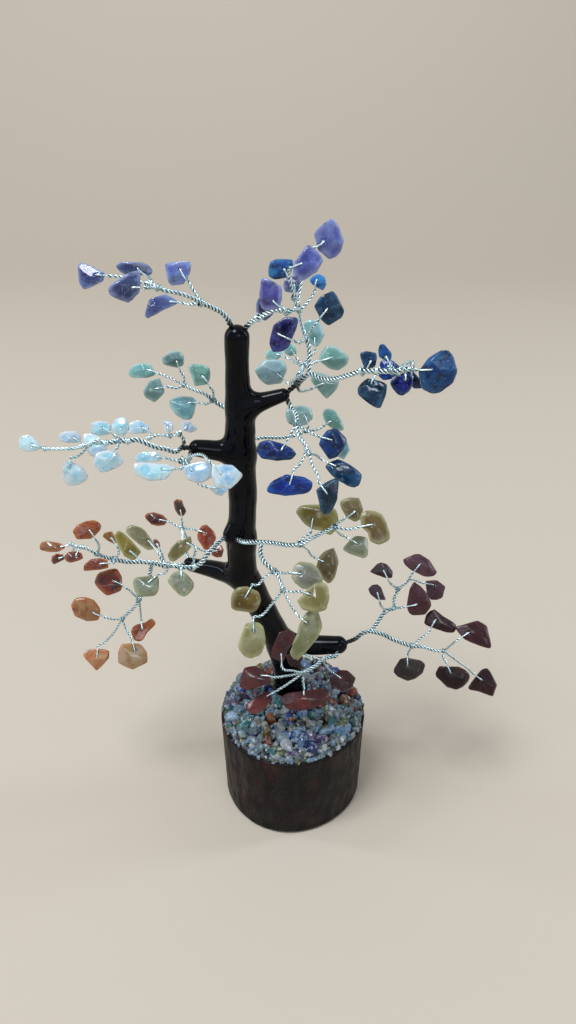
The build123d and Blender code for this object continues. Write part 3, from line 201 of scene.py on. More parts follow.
# %% Lapis and aventurine on the upper right stub
add_branch("upper_right", "upper_right_stub", stems=[
    [(297, 384, 0.02), (304, 378, 0.01), (309, 374, 0.0), (320, 378, -0.03), (332, 379, -0.07),
     (345, 376, -0.11), (362, 371, -0.15), (378, 371, -0.18), (392, 371, -0.2), (405, 370, -0.21),
     (412, 369, -0.21)],
    [(309, 374, 0.0), (309, 360, 0.03), (309, 348, 0.05), (306, 338, 0.06), (302, 326, 0.07),
     (299, 311, 0.07)],
    [(297, 384, 0.02), (300, 375, 0.1), (303, 366, 0.2)],
], groups={
    "lapis_upper_stones": [
        stone([(267, 270), (270, 262), (276, 259), (297, 259), (296, 268), (290, 277), (275, 280),
              (267, 276)], (284, 270), 0.06, (8, 6), 0.5, [(299, 311), (296, 300), (292, 288),
              (289, 280)]),
        stone([(308, 279), (318, 273), (325, 277), (327, 284), (323, 291), (316, 287), (310, 283)],
              (317, 280), 0.07, (-10, -8), 0.6, [(299, 311), (307, 303), (314, 293)]),
        stone([(314, 306), (320, 296), (332, 290), (336, 294), (347, 315), (343, 317), (327, 328),
              (321, 320)], (326, 310), -0.03, (12, 8), 0.55, [(306, 338), (310, 332), (317, 322)]),
        stone([(268, 343), (272, 326), (283, 316), (293, 315), (299, 319), (296, 330), (289, 347),
              (279, 355), (273, 353)], (279, 334), -0.03, (-10, 2), 0.6, [(306, 338), (301, 342),
              (294, 341)]),
    ],
    "aventurine_right_stones": [
        stone([(254, 370), (265, 360), (283, 358), (288, 370), (283, 383), (268, 386), (256, 378)],
              (277, 374), 0.27, (16, -10), 0.5, [(300, 375), (292, 381), (285, 381)]),
        stone([(266, 352), (275, 347), (283, 350), (283, 356), (276, 361), (265, 359)], (277, 355), 0.36,
              (-8, 12), 0.6, [(303, 366), (293, 361), (285, 357)]),
        stone([(284, 348), (290, 342), (296, 347), (297, 354), (290, 357), (284, 354)], (291, 350), 0.22,
              (10, -6), 0.6, [(303, 366), (298, 360)]),
        stone([(301, 322), (312, 318), (320, 322), (325, 335), (322, 345), (315, 347), (303, 338)],
              (315, 339), 0.28, (-6, 10), 0.55, [(303, 366), (309, 357), (315, 350)]),
        stone([(317, 355), (324, 345), (335, 346), (350, 356), (348, 365), (340, 371), (331, 370),
              (320, 362)], (331, 357), 0.24, (12, -4), 0.55, [(303, 366), (313, 364), (319, 361)]),
        stone([(310, 370), (322, 373), (338, 378), (342, 384), (330, 399), (325, 399), (317, 391),
              (310, 382)], (324, 384), 0.14, (-12, 6), 0.5, [(297, 384), (300, 391), (311, 389)]),
    ],
    "lapis_right_stones": [
        stone([(359, 353), (366, 351), (378, 353), (378, 364), (370, 370), (364, 368)], (370, 362), -0.05,
              (10, 8), 0.6, [(362, 371), (366, 370)]),
        stone([(356, 388), (364, 380), (366, 377), (378, 379), (388, 385), (386, 395), (381, 408),
              (376, 410), (368, 404), (356, 393)], (372, 384), -0.15, (-12, 14), 0.55, [(378, 371),
              (375, 376)]),
        stone([(378, 350), (380, 344), (384, 344), (391, 352), (393, 359), (388, 363), (379, 358)],
              (386, 357), -0.14, (8, 0), 0.6, [(392, 371), (390, 365)]),
        stone([(380, 360), (385, 357), (395, 362), (396, 368), (392, 380), (385, 382), (378, 376)],
              (388, 366), -0.08, (-8, 6), 0.5, [(392, 371), (395, 372)]),
        stone([(391, 359), (402, 368), (396, 376), (388, 380), (386, 370)], (396, 370), 0.0, (6, -8), 0.5,
              [(405, 370), (405, 365), (402, 366)]),
        stone([(388, 383), (396, 376), (405, 372), (412, 376), (414, 387), (410, 391), (401, 397),
              (397, 395)], (405, 380), -0.15, (14, 10), 0.5, [(405, 370), (405, 371)]),
        stone([(407, 368), (412, 370), (421, 380), (427, 388), (414, 389), (408, 380)], (412, 377), -0.07,
              (-6, -6), 0.5, [(412, 369), (413, 363), (411, 365)]),
        stone([(418, 372), (428, 358), (441, 350), (449, 350), (454, 358), (458, 372), (453, 383),
              (440, 393), (431, 394), (416, 388)], (430, 369), -0.17, (16, -6), 0.5, [(412, 369),
              (416, 370)]),
    ],
})

# %% Lapis below the upper right stub
add_branch("lapis_lower", "upper_right_stub", stems=[
    [(291, 407, 0.0), (296, 415, -0.04), (297, 425, -0.08), (299, 436, -0.12), (304, 443, -0.15),
     (307, 449, -0.16), (309, 454, -0.17)],
], groups={
    "lapis_lower_stones": [
        stone([(256, 447), (261, 440), (270, 440), (284, 444), (296, 450), (300, 455), (297, 459),
              (277, 461), (256, 458)], (282, 450), -0.13, (-8, 10), 0.62, [(297, 425), (292, 432),
              (287, 441)]),
        stone([(318, 447), (321, 438), (327, 430), (336, 428), (341, 429), (348, 440), (344, 450),
              (337, 457), (327, 460)], (330, 439), -0.13, (14, -8), 0.6, [(297, 425), (308, 431),
              (318, 436)]),
        stone([(322, 463), (328, 459), (337, 458), (349, 464), (363, 474), (359, 485), (355, 489),
              (348, 487), (332, 476)], (335, 466), -0.17, (-10, 8), 0.6, [(309, 454), (315, 455),
              (321, 459)]),
    ],
}, hanging={
    "lapis_lower_hanging_long": stone([(266, 490), (272, 480), (284, 474), (292, 475), (305, 477),
          (316, 484), (314, 491), (304, 494), (285, 496), (268, 493)], (290, 482), -0.2, (0, -16), 0.6,
          [(307, 449), (300, 464), (293, 472)]),
    "lapis_lower_hanging_dark": stone([(316, 490), (323, 484), (329, 479), (336, 477), (340, 482),
          (338, 498), (332, 511), (327, 516), (321, 512)], (326, 492), -0.27, (8, -12), 0.6, [(309, 454),
          (313, 467), (319, 478), (320, 484)]),
})

# %% Aventurine behind the trunk, right
add_branch("aventurine_low", "back_stub", stems=[
    [(255, 439, 0.2), (262, 438, 0.21), (275, 438, 0.23), (290, 437, 0.25), (300, 434, 0.26),
     (306, 431, 0.27)],
], groups={
    "aventurine_low_stones": [
        stone([(282, 410), (290, 406), (303, 405), (312, 409), (314, 418), (306, 425), (296, 427),
              (288, 425)], (304, 416), 0.28, (10, 8), 0.5, [(306, 431), (308, 426)]),
        stone([(320, 410), (326, 406), (336, 411), (343, 424), (345, 430), (336, 432), (326, 424)],
              (331, 421), 0.27, (-12, -8), 0.6, [(306, 431), (316, 430), (324, 426)]),
        stone([(333, 440), (347, 440), (350, 450), (344, 460), (336, 456)], (339, 446), 0.22, (8, 6), 0.6,
              [(306, 431), (319, 437), (330, 441)]),
    ],
})

# %% Aventurine behind the trunk, left
add_branch("aventurine_left", "back_stub", stems=[
    [(224, 407, 0.22), (219, 404, 0.23), (213, 400, 0.24), (205, 394, 0.25), (197, 391, 0.26),
     (184, 385, 0.28)],
], groups={
    "aventurine_left_stones": [
        stone([(125, 371), (133, 365), (145, 363), (153, 365), (157, 370), (156, 375), (148, 378),
              (131, 378)], (148, 370), 0.33, (-16, 10), 0.6, [(184, 385), (172, 379), (160, 374)]),
        stone([(161, 358), (166, 352), (179, 350), (184, 356), (185, 366), (178, 368), (168, 366),
              (163, 364)], (176, 361), 0.27, (10, -10), 0.55, [(184, 385), (184, 377), (180, 370)]),
        stone([(187, 366), (192, 362), (201, 363), (209, 367), (212, 373), (211, 381), (207, 386),
              (198, 388), (194, 386), (191, 376)], (202, 377), 0.22, (12, 8), 0.5, [(213, 400),
              (213, 392), (210, 387)]),
        stone([(143, 390), (147, 383), (152, 377), (160, 376), (163, 383), (166, 391), (160, 398),
              (155, 403), (148, 399), (143, 397)], (156, 388), 0.26, (-8, -8), 0.55, [(184, 385),
              (176, 388), (167, 387)]),
        stone([(169, 400), (173, 396), (183, 396), (194, 397), (197, 401), (195, 410), (193, 420),
              (183, 420), (176, 415), (170, 407)], (187, 404), 0.28, (8, 10), 0.5, [(213, 400),
              (206, 404), (199, 403)]),
    ],
})

# %% Quartz on the left stub
add_branch("quartz_left", "left_stub", stems=[
    [(182, 448, -0.03), (176, 452, -0.06), (165, 449, -0.08), (155, 447, -0.09), (145, 443, -0.1),
     (138, 440, -0.1), (128, 441, -0.11), (118, 441, -0.11), (106, 443, -0.12), (97, 441, -0.12),
     (90, 444, -0.13), (82, 446, -0.14), (76, 448, -0.14), (60, 449, -0.15), (45, 449, -0.16)],
    [(182, 448, -0.03), (184, 441, -0.02), (179, 434, 0.0), (170, 436, 0.02), (159, 435, 0.03),
     (149, 438, 0.03)],
], groups={
    "quartz_left_stones": [
        stone([(17, 443), (21, 436), (28, 434), (34, 438), (42, 447), (38, 451), (27, 452), (20, 449)],
              (33, 445), -0.16, (-18, 6), 0.6, [(45, 449), (43, 449)]),
        stone([(58, 434), (65, 431), (76, 431), (81, 437), (81, 443), (70, 444), (60, 441)], (74, 438),
              -0.1, (10, -6), 0.55, [(82, 446), (83, 444)]),
        stone([(83, 433), (92, 433), (100, 437), (108, 450), (103, 452), (97, 457), (92, 457), (84, 448)],
              (97, 444), -0.05, (-6, 8), 0.5, [(106, 443), (107, 443)]),
        stone([(88, 430), (91, 423), (98, 421), (108, 422), (112, 427), (111, 434), (103, 436),
              (92, 435)], (103, 428), 0.02, (14, -8), 0.5, [(118, 441), (115, 436)]),
        stone([(112, 425), (116, 417), (121, 415), (127, 419), (130, 428), (126, 436), (117, 437),
              (112, 432)], (121, 429), -0.05, (-8, 4), 0.5, [(128, 441), (124, 439)]),
        stone([(128, 423), (138, 420), (145, 422), (150, 428), (147, 433), (138, 435), (128, 434)],
              (142, 428), 0.05, (6, 10), 0.5, [(149, 438), (152, 434)]),
        stone([(163, 421), (168, 419), (173, 424), (173, 431), (165, 432)], (168, 427), 0.02, (-10, 6),
              0.5, [(170, 436), (169, 434)]),
        stone([(181, 422), (190, 421), (198, 430), (192, 433), (181, 430)], (187, 426), 0.0, (12, -6),
              0.5, [(179, 434), (180, 432)]),
    ],
}, hanging={
    "quartz_hanging_outer": stone([(62, 463), (66, 459), (72, 462), (82, 467), (89, 476), (86, 481),
          (78, 485), (68, 487), (63, 479)], (69, 467), -0.14, (-8, -14), 0.6, [(90, 444), (83, 452),
          (76, 457), (71, 459)]),
    "quartz_hanging_inner": stone([(92, 456), (98, 452), (109, 450), (118, 454), (125, 460), (122, 466),
          (102, 474), (93, 465)], (110, 459), -0.18, (8, -10), 0.55, [(118, 441), (118, 446),
          (116, 450)]),
})

# %% Quartz below the left stub
add_branch("quartz_lower", "left_stub", stems=[
    [(190, 458, -0.06), (186, 462, -0.09), (181, 461, -0.12)],
], groups={
    "quartz_lower_stones": [
        stone([(134, 456), (140, 452), (155, 451), (162, 454), (164, 461), (135, 463)], (157, 457), -0.11,
              (-8, 4), 0.6, [(181, 461), (173, 460), (166, 458)]),
        stone([(131, 466), (136, 462), (160, 463), (177, 467), (176, 473), (165, 480), (148, 481),
              (133, 474)], (162, 470), -0.18, (10, 8), 0.55, [(181, 461), (185, 466), (182, 469)]),
        stone([(182, 469), (188, 463), (200, 461), (214, 463), (213, 477), (200, 484), (188, 480),
              (183, 475)], (193, 470), -0.21, (-10, -8), 0.5, [(186, 462), (187, 463)]),
        stone([(212, 466), (222, 464), (232, 465), (240, 470), (244, 474), (238, 482), (230, 489),
              (216, 488), (211, 480)], (221, 474), -0.26, (12, 6), 0.5, [(186, 462), (191, 456),
              (203, 455), (210, 462)]),
        stone([(209, 489), (213, 483), (226, 484), (229, 489), (222, 496), (215, 495)], (217, 488), -0.15,
              (-6, 0), 0.6, [(181, 461), (192, 478), (206, 487)]),
    ],
})

# %% Yellow jade on the right of the front lump
add_branch("yellow_right", "front_lump", stems=[
    [(241, 541, -0.05), (248, 542, -0.08), (261, 542, -0.11), (275, 543, -0.14), (290, 545, -0.18),
     (300, 544, -0.2), (312, 538, -0.22), (322, 533, -0.24), (334, 527, -0.26)],
    [(261, 542, -0.11), (261, 555, -0.15), (265, 563, -0.18), (274, 571, -0.2), (280, 581, -0.24),
     (283, 590, -0.27)],
], groups={
    "yellow_right_stones": [
        stone([(295, 512), (299, 506), (310, 504), (328, 504), (340, 511), (341, 520), (336, 530),
              (330, 536), (322, 531), (310, 529), (300, 521)], (313, 520), -0.16, (-6, 10), 0.5,
              [(300, 544), (304, 537), (311, 531)]),
        stone([(338, 503), (343, 499), (350, 497), (359, 498), (362, 504), (365, 511), (361, 519),
              (355, 522), (347, 518), (342, 510)], (354, 511), -0.19, (12, -8), 0.5, [(334, 527),
              (341, 521), (345, 518)]),
        stone([(360, 513), (365, 510), (375, 511), (382, 514), (387, 523), (391, 537), (388, 541),
              (377, 546), (370, 543), (368, 533), (361, 527)], (371, 525), -0.27, (16, 8), 0.5,
              [(334, 527), (345, 529), (353, 529), (359, 527)]),
        stone([(342, 549), (348, 541), (353, 536), (366, 535), (369, 539), (368, 557), (365, 559),
              (356, 556), (345, 552)], (357, 544), -0.2, (-10, 12), 0.55, [(334, 527), (340, 534),
              (349, 539)]),
        stone([(316, 560), (326, 549), (333, 545), (336, 552), (339, 562), (336, 575), (330, 587),
              (322, 580), (315, 567)], (323, 561), -0.16, (8, -10), 0.5, [(300, 544), (307, 549),
              (316, 558)]),
    ],
    "yellow_lower_stones": [
        stone([(291, 577), (294, 566), (299, 561), (312, 563), (321, 570), (325, 580), (316, 589),
              (302, 589), (293, 583)], (300, 574), -0.23, (10, 8), 0.5, [(274, 571), (283, 573),
              (290, 573)]),
        stone([(295, 602), (300, 598), (308, 588), (315, 583), (323, 582), (329, 586), (331, 603),
              (326, 610), (315, 613), (303, 610)], (310, 595), -0.31, (-8, 8), 0.5, [(283, 590),
              (291, 592), (299, 591)]),
        stone([(286, 652), (289, 646), (296, 638), (299, 625), (305, 612), (312, 609), (321, 613),
              (324, 622), (319, 636), (308, 650), (299, 660), (295, 666), (290, 663)], (306, 622), -0.36,
              (8, -14), 0.6, [(283, 590), (289, 602), (296, 613), (300, 617)]),
    ],
}, hanging={
    "yellow_hanging_ochre": stone([(230, 610), (230, 600), (233, 591), (238, 587), (247, 586), (255, 590),
          (264, 594), (262, 603), (258, 612), (252, 613), (240, 611)], (246, 596), -0.22, (-8, -12), 0.5,
          [(274, 571), (265, 577), (256, 585), (251, 587)]),
    "yellow_hanging_pale": stone([(237, 650), (239, 641), (243, 630), (246, 622), (258, 621), (265, 624),
          (267, 642), (263, 654), (251, 659), (241, 655)], (253, 630), -0.31, (8, -14), 0.5, [(283, 590),
          (271, 605), (260, 616), (253, 620)]),
})

# %% Yellow jade on the left of the front lump
add_branch("yellow_left", "front_lump", stems=[
    [(221, 540, -0.05), (216, 545, -0.08), (206, 556, -0.13), (200, 564, -0.15), (193, 567, -0.17),
     (180, 567, -0.19), (168, 565, -0.2)],
], groups={
    "yellow_left_stones": [
        stone([(165, 557), (170, 548), (178, 541), (187, 538), (191, 534), (195, 538), (192, 546),
              (184, 556), (175, 562), (168, 561)], (187, 543), -0.15, (-10, 6), 0.6, [(193, 567),
              (194, 557), (194, 547)]),
        stone([(166, 577), (172, 571), (181, 570), (186, 572), (190, 576), (194, 582), (194, 587),
              (188, 597), (184, 598), (178, 594), (172, 588), (168, 582)], (181, 577), -0.25, (8, 8), 0.5,
              [(180, 567), (181, 569)]),
        stone([(131, 580), (137, 577), (150, 576), (160, 577), (162, 582), (158, 592), (154, 597),
              (145, 598), (138, 598), (134, 590)], (149, 583), -0.21, (-14, 8), 0.5, [(168, 565),
              (165, 573), (158, 575)]),
        stone([(112, 532), (117, 527), (122, 531), (133, 542), (143, 554), (133, 561), (124, 556),
              (118, 546)], (130, 551), -0.21, (10, -6), 0.55, [(168, 565), (155, 562), (140, 560)]),
        stone([(124, 530), (128, 524), (136, 524), (146, 530), (153, 542), (158, 551), (149, 551),
              (140, 545), (129, 536)], (148, 541), -0.16, (8, 8), 0.5, [(168, 565), (162, 561),
              (160, 555)]),
    ],
})

# %% Carnelian on the lower left stub
add_branch("carnelian_left", "lower_left_stub", stems=[
    [(180, 565, 0.14), (165, 566, 0.13), (152, 563, 0.12), (140, 562, 0.11), (128, 562, 0.1),
     (113, 559, 0.09), (105, 557, 0.09), (97, 554, 0.08), (90, 550, 0.08), (82, 547, 0.08),
     (75, 546, 0.07), (71, 544, 0.07)],
    [(152, 563, 0.12), (150, 572, 0.12), (149, 581, 0.11), (145, 590, 0.11), (139, 599, 0.1),
     (136, 605, 0.09), (125, 616, 0.07), (122, 619, 0.06)],
], groups={
    "carnelian_left_stones": [
        stone([(37, 546), (40, 542), (48, 541), (60, 543), (67, 545), (68, 549), (60, 552), (48, 552),
              (40, 550)], (61, 547), 0.06, (-14, 10), 0.7, [(71, 544), (69, 545)]),
        stone([(51, 561), (52, 556), (57, 553), (63, 554), (66, 559), (60, 562), (54, 565)], (59, 558),
              0.11, (8, -6), 0.6, [(75, 546), (69, 554)]),
        stone([(63, 557), (68, 552), (76, 551), (82, 553), (84, 558), (78, 561), (70, 563), (65, 561)],
              (76, 556), 0.03, (-6, 12), 0.6, [(82, 547), (79, 549)]),
        stone([(72, 531), (77, 525), (86, 521), (94, 520), (104, 524), (99, 533), (92, 539), (77, 540)],
              (89, 530), 0.05, (10, -8), 0.5, [(97, 554), (99, 547), (96, 540)]),
        stone([(80, 571), (84, 565), (91, 559), (100, 558), (108, 560), (110, 563), (109, 568), (98, 570),
              (85, 571)], (100, 564), 0.03, (-8, 8), 0.5, [(113, 559), (113, 563)]),
        stone([(102, 536), (106, 531), (112, 531), (117, 541), (116, 545), (108, 541)], (111, 538), 0.1,
              (6, 6), 0.5, [(113, 559), (118, 555), (119, 549)]),
        stone([(153, 540), (156, 538), (160, 543), (161, 547), (157, 549), (154, 545)], (157, 544), 0.14,
              (-6, 4), 0.6, [(165, 566), (163, 558), (161, 551)]),
    ],
    "carnelian_lower_stones": [
        stone([(94, 582), (97, 575), (100, 572), (110, 569), (117, 568), (122, 577), (124, 586),
              (121, 592), (114, 597), (107, 597), (102, 592), (96, 586)], (114, 582), 0.05, (12, 6), 0.5,
              [(139, 599), (133, 594), (126, 588)]),
        stone([(70, 605), (75, 597), (86, 597), (94, 600), (101, 609), (102, 616), (97, 624), (86, 621),
              (74, 616)], (94, 612), 0.04, (-12, -8), 0.6, [(122, 619), (113, 619), (104, 617)]),
        stone([(131, 627), (138, 624), (146, 622), (152, 616), (156, 624), (147, 633), (143, 640),
              (137, 644), (131, 640)], (142, 629), 0.09, (8, 8), 0.55, [(139, 599), (140, 608),
              (141, 617)]),
    ],
}, hanging={
    "carnelian_hanging_peach": stone([(81, 656), (89, 649), (103, 649), (112, 650), (109, 659),
          (103, 666), (97, 671), (92, 666), (86, 660)], (97, 655), 0.03, (-6, -14), 0.55, [(122, 619),
          (110, 637), (102, 644), (98, 647)]),
    "carnelian_hanging_pale": stone([(118, 653), (121, 644), (133, 643), (141, 644), (147, 652),
          (149, 662), (144, 667), (133, 671), (118, 663)], (134, 650), 0.0, (8, -12), 0.55, [(122, 619),
          (127, 631), (132, 640)]),
})

# %% Carnelian behind the lower left stub
add_branch("carnelian_back", "lower_left_stub", stems=[
    [(186, 551, 0.24), (184, 540, 0.34), (183, 531, 0.42), (182, 528, 0.45)],
], groups={
    "carnelian_back_stones": [
        stone([(143, 518), (147, 513), (154, 512), (163, 515), (168, 520), (165, 525), (158, 526),
              (149, 524)], (160, 520), 0.48, (-10, 8), 0.6, [(182, 528), (175, 525), (170, 522)]),
        stone([(173, 501), (176, 499), (182, 500), (184, 506), (187, 511), (183, 517), (179, 516),
              (175, 510)], (180, 510), 0.46, (8, -8), 0.6, [(182, 528), (182, 520)]),
        stone([(197, 533), (201, 526), (208, 523), (213, 528), (217, 538), (213, 548), (205, 551),
              (198, 543)], (204, 533), 0.42, (12, 6), 0.5, [(182, 528), (190, 529), (196, 530)]),
        stone([(211, 555), (215, 547), (221, 544), (224, 550), (222, 557), (215, 558)], (217, 551), 0.5,
              (-8, 4), 0.6, [(182, 528), (194, 546), (208, 552)]),
    ],
})

# %% Red jasper on the lower right stub
add_branch("jasper_right", "lower_right_stub", stems=[
    [(355, 639, 0.04), (363, 633, 0.05), (370, 631, 0.06), (375, 626, 0.08), (380, 619, 0.1),
     (386, 611, 0.12), (394, 608, 0.13), (394, 600, 0.14), (398, 589, 0.15)],
    [(370, 631, 0.06), (384, 635, 0.05), (392, 639, 0.04), (402, 643, 0.04), (412, 646, 0.03),
     (423, 647, 0.03), (438, 651, 0.02), (444, 651, 0.02)],
], groups={
    "jasper_upper_stones": [
        stone([(369, 572), (379, 562), (387, 564), (393, 571), (392, 578), (382, 578), (373, 574)],
              (384, 571), 0.14, (-10, 8), 0.55, [(398, 589), (392, 585), (389, 581)]),
        stone([(368, 589), (372, 585), (380, 584), (383, 592), (386, 600), (377, 600), (371, 597)],
              (377, 593), 0.1, (10, -6), 0.6, [(386, 611), (382, 607), (380, 603)]),
        stone([(401, 557), (407, 554), (420, 554), (431, 561), (438, 572), (434, 576), (425, 577),
              (411, 570), (403, 563)], (419, 565), 0.16, (12, 8), 0.5, [(398, 589), (406, 583),
              (412, 574)]),
        stone([(425, 579), (435, 578), (446, 584), (442, 600), (431, 600), (427, 595)], (433, 585), 0.2,
              (-6, 6), 0.5, [(398, 589), (410, 580), (422, 583)]),
        stone([(415, 579), (424, 590), (431, 598), (432, 605), (425, 615), (409, 616), (406, 611),
              (408, 597), (410, 588)], (416, 604), 0.09, (8, -8), 0.5, [(394, 608), (404, 607)]),
    ],
    "jasper_right_stones": [
        stone([(424, 623), (426, 615), (433, 608), (443, 616), (458, 625), (454, 633), (440, 632),
              (429, 628)], (436, 620), 0.05, (-8, 6), 0.5, [(412, 646), (421, 638), (430, 630)]),
        stone([(454, 627), (462, 625), (483, 619), (488, 625), (492, 640), (491, 649), (469, 644),
              (462, 640), (455, 633)], (468, 633), -0.02, (14, 8), 0.5, [(444, 651), (452, 644),
              (459, 639)]),
        stone([(475, 676), (484, 665), (491, 672), (497, 685), (493, 697), (480, 692), (467, 689)],
              (481, 679), 0.06, (10, -8), 0.5, [(444, 651), (457, 661), (467, 668), (474, 674)]),
    ],
}, hanging={
    "jasper_hanging_inner": stone([(391, 670), (400, 659), (409, 657), (418, 658), (427, 665), (423, 673),
          (415, 679), (408, 681), (397, 677)], (408, 664), 0.02, (-6, -12), 0.55, [(412, 646), (409, 651),
          (408, 654)]),
    "jasper_hanging_outer": stone([(435, 669), (440, 665), (455, 665), (466, 670), (472, 677), (464, 686),
          (456, 690), (447, 687), (436, 677)], (450, 671), -0.04, (8, -14), 0.55, [(444, 651), (443, 657),
          (446, 662)]),
})

# %% Red jasper in front of the trunk's foot
add_branch("jasper_front", "lower_right_stub", stems=[
    [(336, 656, -0.02), (330, 657, -0.03), (322, 660, -0.05), (318, 664, -0.07), (310, 669, -0.09),
     (303, 673, -0.11)],
], groups={
    "jasper_front_stones": [
        stone([(270, 660), (272, 648), (279, 632), (291, 629), (297, 633), (294, 642), (287, 652),
              (283, 664)], (281, 654), -0.11, (6, 0), 0.5, [(303, 673), (293, 671), (282, 669)]),
        stone([(238, 686), (241, 674), (245, 666), (253, 664), (262, 670), (272, 676), (272, 683),
              (258, 687), (244, 691)], (262, 676), -0.19, (-10, 10), 0.5, [(303, 673), (286, 676),
              (274, 677)]),
        stone([(244, 706), (255, 697), (272, 688), (276, 692), (268, 705), (260, 713), (252, 714),
              (247, 710)], (267, 696), -0.22, (8, 8), 0.5, [(303, 673), (292, 681), (278, 690)]),
        stone([(276, 697), (281, 693), (305, 691), (328, 687), (331, 701), (320, 707), (300, 711),
              (287, 709)], (304, 695), -0.16, (-8, 12), 0.6, [(303, 673), (303, 682), (304, 689)]),
        stone([(329, 680), (339, 670), (347, 670), (356, 678), (351, 690), (345, 693), (335, 687)],
              (340, 678), -0.03, (12, 4), 0.5, [(322, 660), (327, 668), (333, 673)]),
        stone([(286, 655), (294, 650), (302, 648), (303, 658), (298, 668), (290, 668)], (297, 657), -0.05,
              (-8, 0), 0.45, [(322, 660), (312, 657), (306, 655)]),
    ],
})

# %% [markdown]
# ## Surfaces as whole arrays
#
# Each surface below is a grid of points, worked out all at once. A sphere or a cube from the menu
# could be pushed into shape by hand, but a formula can be read again and gives the same shape for a
# hundred stones. The grids close on themselves, so there is no seam, and the faces look outwards.

# %% Grids, tubes and pieces
COLOUR_PARTS = 4


def grid_faces(rows, columns, wrap_rows, wrap_columns):
    """Four-cornered faces between neighbours of a grid whose points are numbered row by row."""
    row = np.arange(rows if wrap_rows else rows - 1)[:, None]
    column = np.arange(columns if wrap_columns else columns - 1)[None, :]
    below, beside = (row + 1) % rows, (column + 1) % columns
    row, below = row * columns, below * columns
    corners = np.broadcast_arrays(row + column, row + beside, below + beside, below + column)
    return np.stack(corners, -1).reshape(-1, 4).tolist()


def facing_out(points, faces):
    """The same faces, all turned round if the volume they close comes out below zero."""
    first, second, third = (points[[face[turn] for face in faces]] for turn in (0, 1, 2))
    last = points[[face[-1] for face in faces]]
    volume = np.sum(first * np.cross(second, third)) + np.sum(first * np.cross(third, last))
    return faces if volume > 0 else [face[::-1] for face in faces]


def round_upright(radius, turn, height=0.0):
    """Points at a radius, a turn and a height from the upright axis."""
    return np.stack(np.broadcast_arrays(radius * np.cos(turn), radius * np.sin(turn), height), -1)


def carry_ring(line, aside, radius, sides):
    """A ring carried along a line, with flat ends: each ring lies square to the line's direction.

    aside is roughly square to the line. What it has along the line is taken off, and the cross
    product with the line gives the ring's other direction.
    """
    ahead = unit(np.gradient(line, axis=0))
    aside = np.broadcast_to(aside, line.shape)
    across = unit(aside - np.sum(aside * ahead, -1, keepdims=True) * ahead)
    upright = np.cross(ahead, across)
    turn = np.arange(sides) * math.tau / sides
    radius = np.broadcast_to(radius, len(line))[:, None, None]
    ring = across[:, None] * np.cos(turn)[:, None] + upright[:, None] * np.sin(turn)[:, None]
    points = (line[:, None] + ring * radius).reshape(-1, 3)
    ends = [list(range(sides))[::-1], list(range(len(points) - sides, len(points)))]
    return points, facing_out(points, grid_faces(len(line), sides, False, True) + ends)


def add_object(name, data):
    """Puts a mesh, a lamp or a camera in the scene."""
    added = bpy.data.objects.new(name, data)
    bpy.context.scene.collection.objects.link(added)
    return added


def make_piece(name, parts, stands_for, finish, smooth=True, **paints):
    """Joins parts, each its points in millimetres and its faces, in one object at the origin.

    It takes the place of a solid, and its body. A paint is kept as an attribute: one
    colour for each part, or a value for each of its points.
    """
    counts = [len(points) for points, _ in parts]
    starts = np.concatenate([[0], np.cumsum(counts)[:-1]]).astype(int)
    faces = [[corner + int(start) for corner in face]
             for start, (_, part) in zip(starts, parts) for face in part]
    mesh = bpy.data.meshes.new(name)
    mesh.from_pydata((np.concatenate([points for points, _ in parts]) * MM).tolist(), [], faces)
    if smooth:
        mesh.shade_smooth()
    else:
        mesh.shade_flat()
    for paint, values in paints.items():
        if len(values[0]) == COLOUR_PARTS:
            kind, field, spread = "FLOAT_COLOR", "color", np.repeat(values, counts, axis=0)
        else:
            kind, field, spread = "FLOAT", "value", np.concatenate(values)
        painted = mesh.attributes.new(paint, kind, "POINT")
        painted.data.foreach_set(field, spread.astype(np.float32).ravel())
    mesh.materials.append(finish)
    piece = add_object(name, mesh)
    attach(piece, BODY_OF[stands_for])
    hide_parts(stands_for)
    return piece


three_steps = np.outer(np.arange(3.0), UPRIGHT)
print("a six-sided tube of three rings has", len(carry_ring(three_steps, SIDEWAYS, 1, 6)[1]), "faces")

# %% [markdown]
# ## Finishes
#
# Colours are written as they would be picked from a picture, in sRGB, and one function turns them to
# the linear values that the renderer reckons with. One small function adds a node. Stone, bark, glue
# and resin are all one colour under cloudy patches of other colours, with a gloss that isn't quite
# even and a fine relief, so two functions make these for every finish. A pattern's size is given in
# millimetres, because Object coordinates are in metres.

# %% Colours and nodes
SOFT = dict(interpolation_type="SMOOTHSTEP")
COLOUR_MIX = dict(data_type="RGBA")
FINE_DETAIL = 3.0
# Noise levels between which a cloud of gloss goes from none to full
CLOUD_START = 0.35
CLOUD_FULL = 0.65


def linear(hex_colour):
    """Linear colour of an sRGB hex value: a straight foot below 0.04045 and a power of 2.4 above it."""
    share = np.array([int(hex_colour[at:at + 2], 16) for at in (1, 3, 5)]) / 255
    value = np.where(share <= 0.04045, share / 12.92, ((share + 0.055) / 1.055) ** 2.4)
    return (*value.tolist(), 1.0)


def per_patch(millimetres):
    """Scale at which a pattern's patch is that wide."""
    return 1 / (millimetres * MM)


def feed(tree, node, inputs):
    """Gives a node its inputs: a node or a socket is linked, a hex colour or a value is set."""
    for name, value in inputs.items():
        socket = next(socket for socket in node.inputs if socket.enabled and socket.name == name)
        if isinstance(value, bpy.types.Node):
            value = next(output for output in value.outputs if output.enabled)
        if isinstance(value, bpy.types.NodeSocket):
            tree.links.new(value, socket)
        else:
            socket.default_value = linear(value) if isinstance(value, str) else value


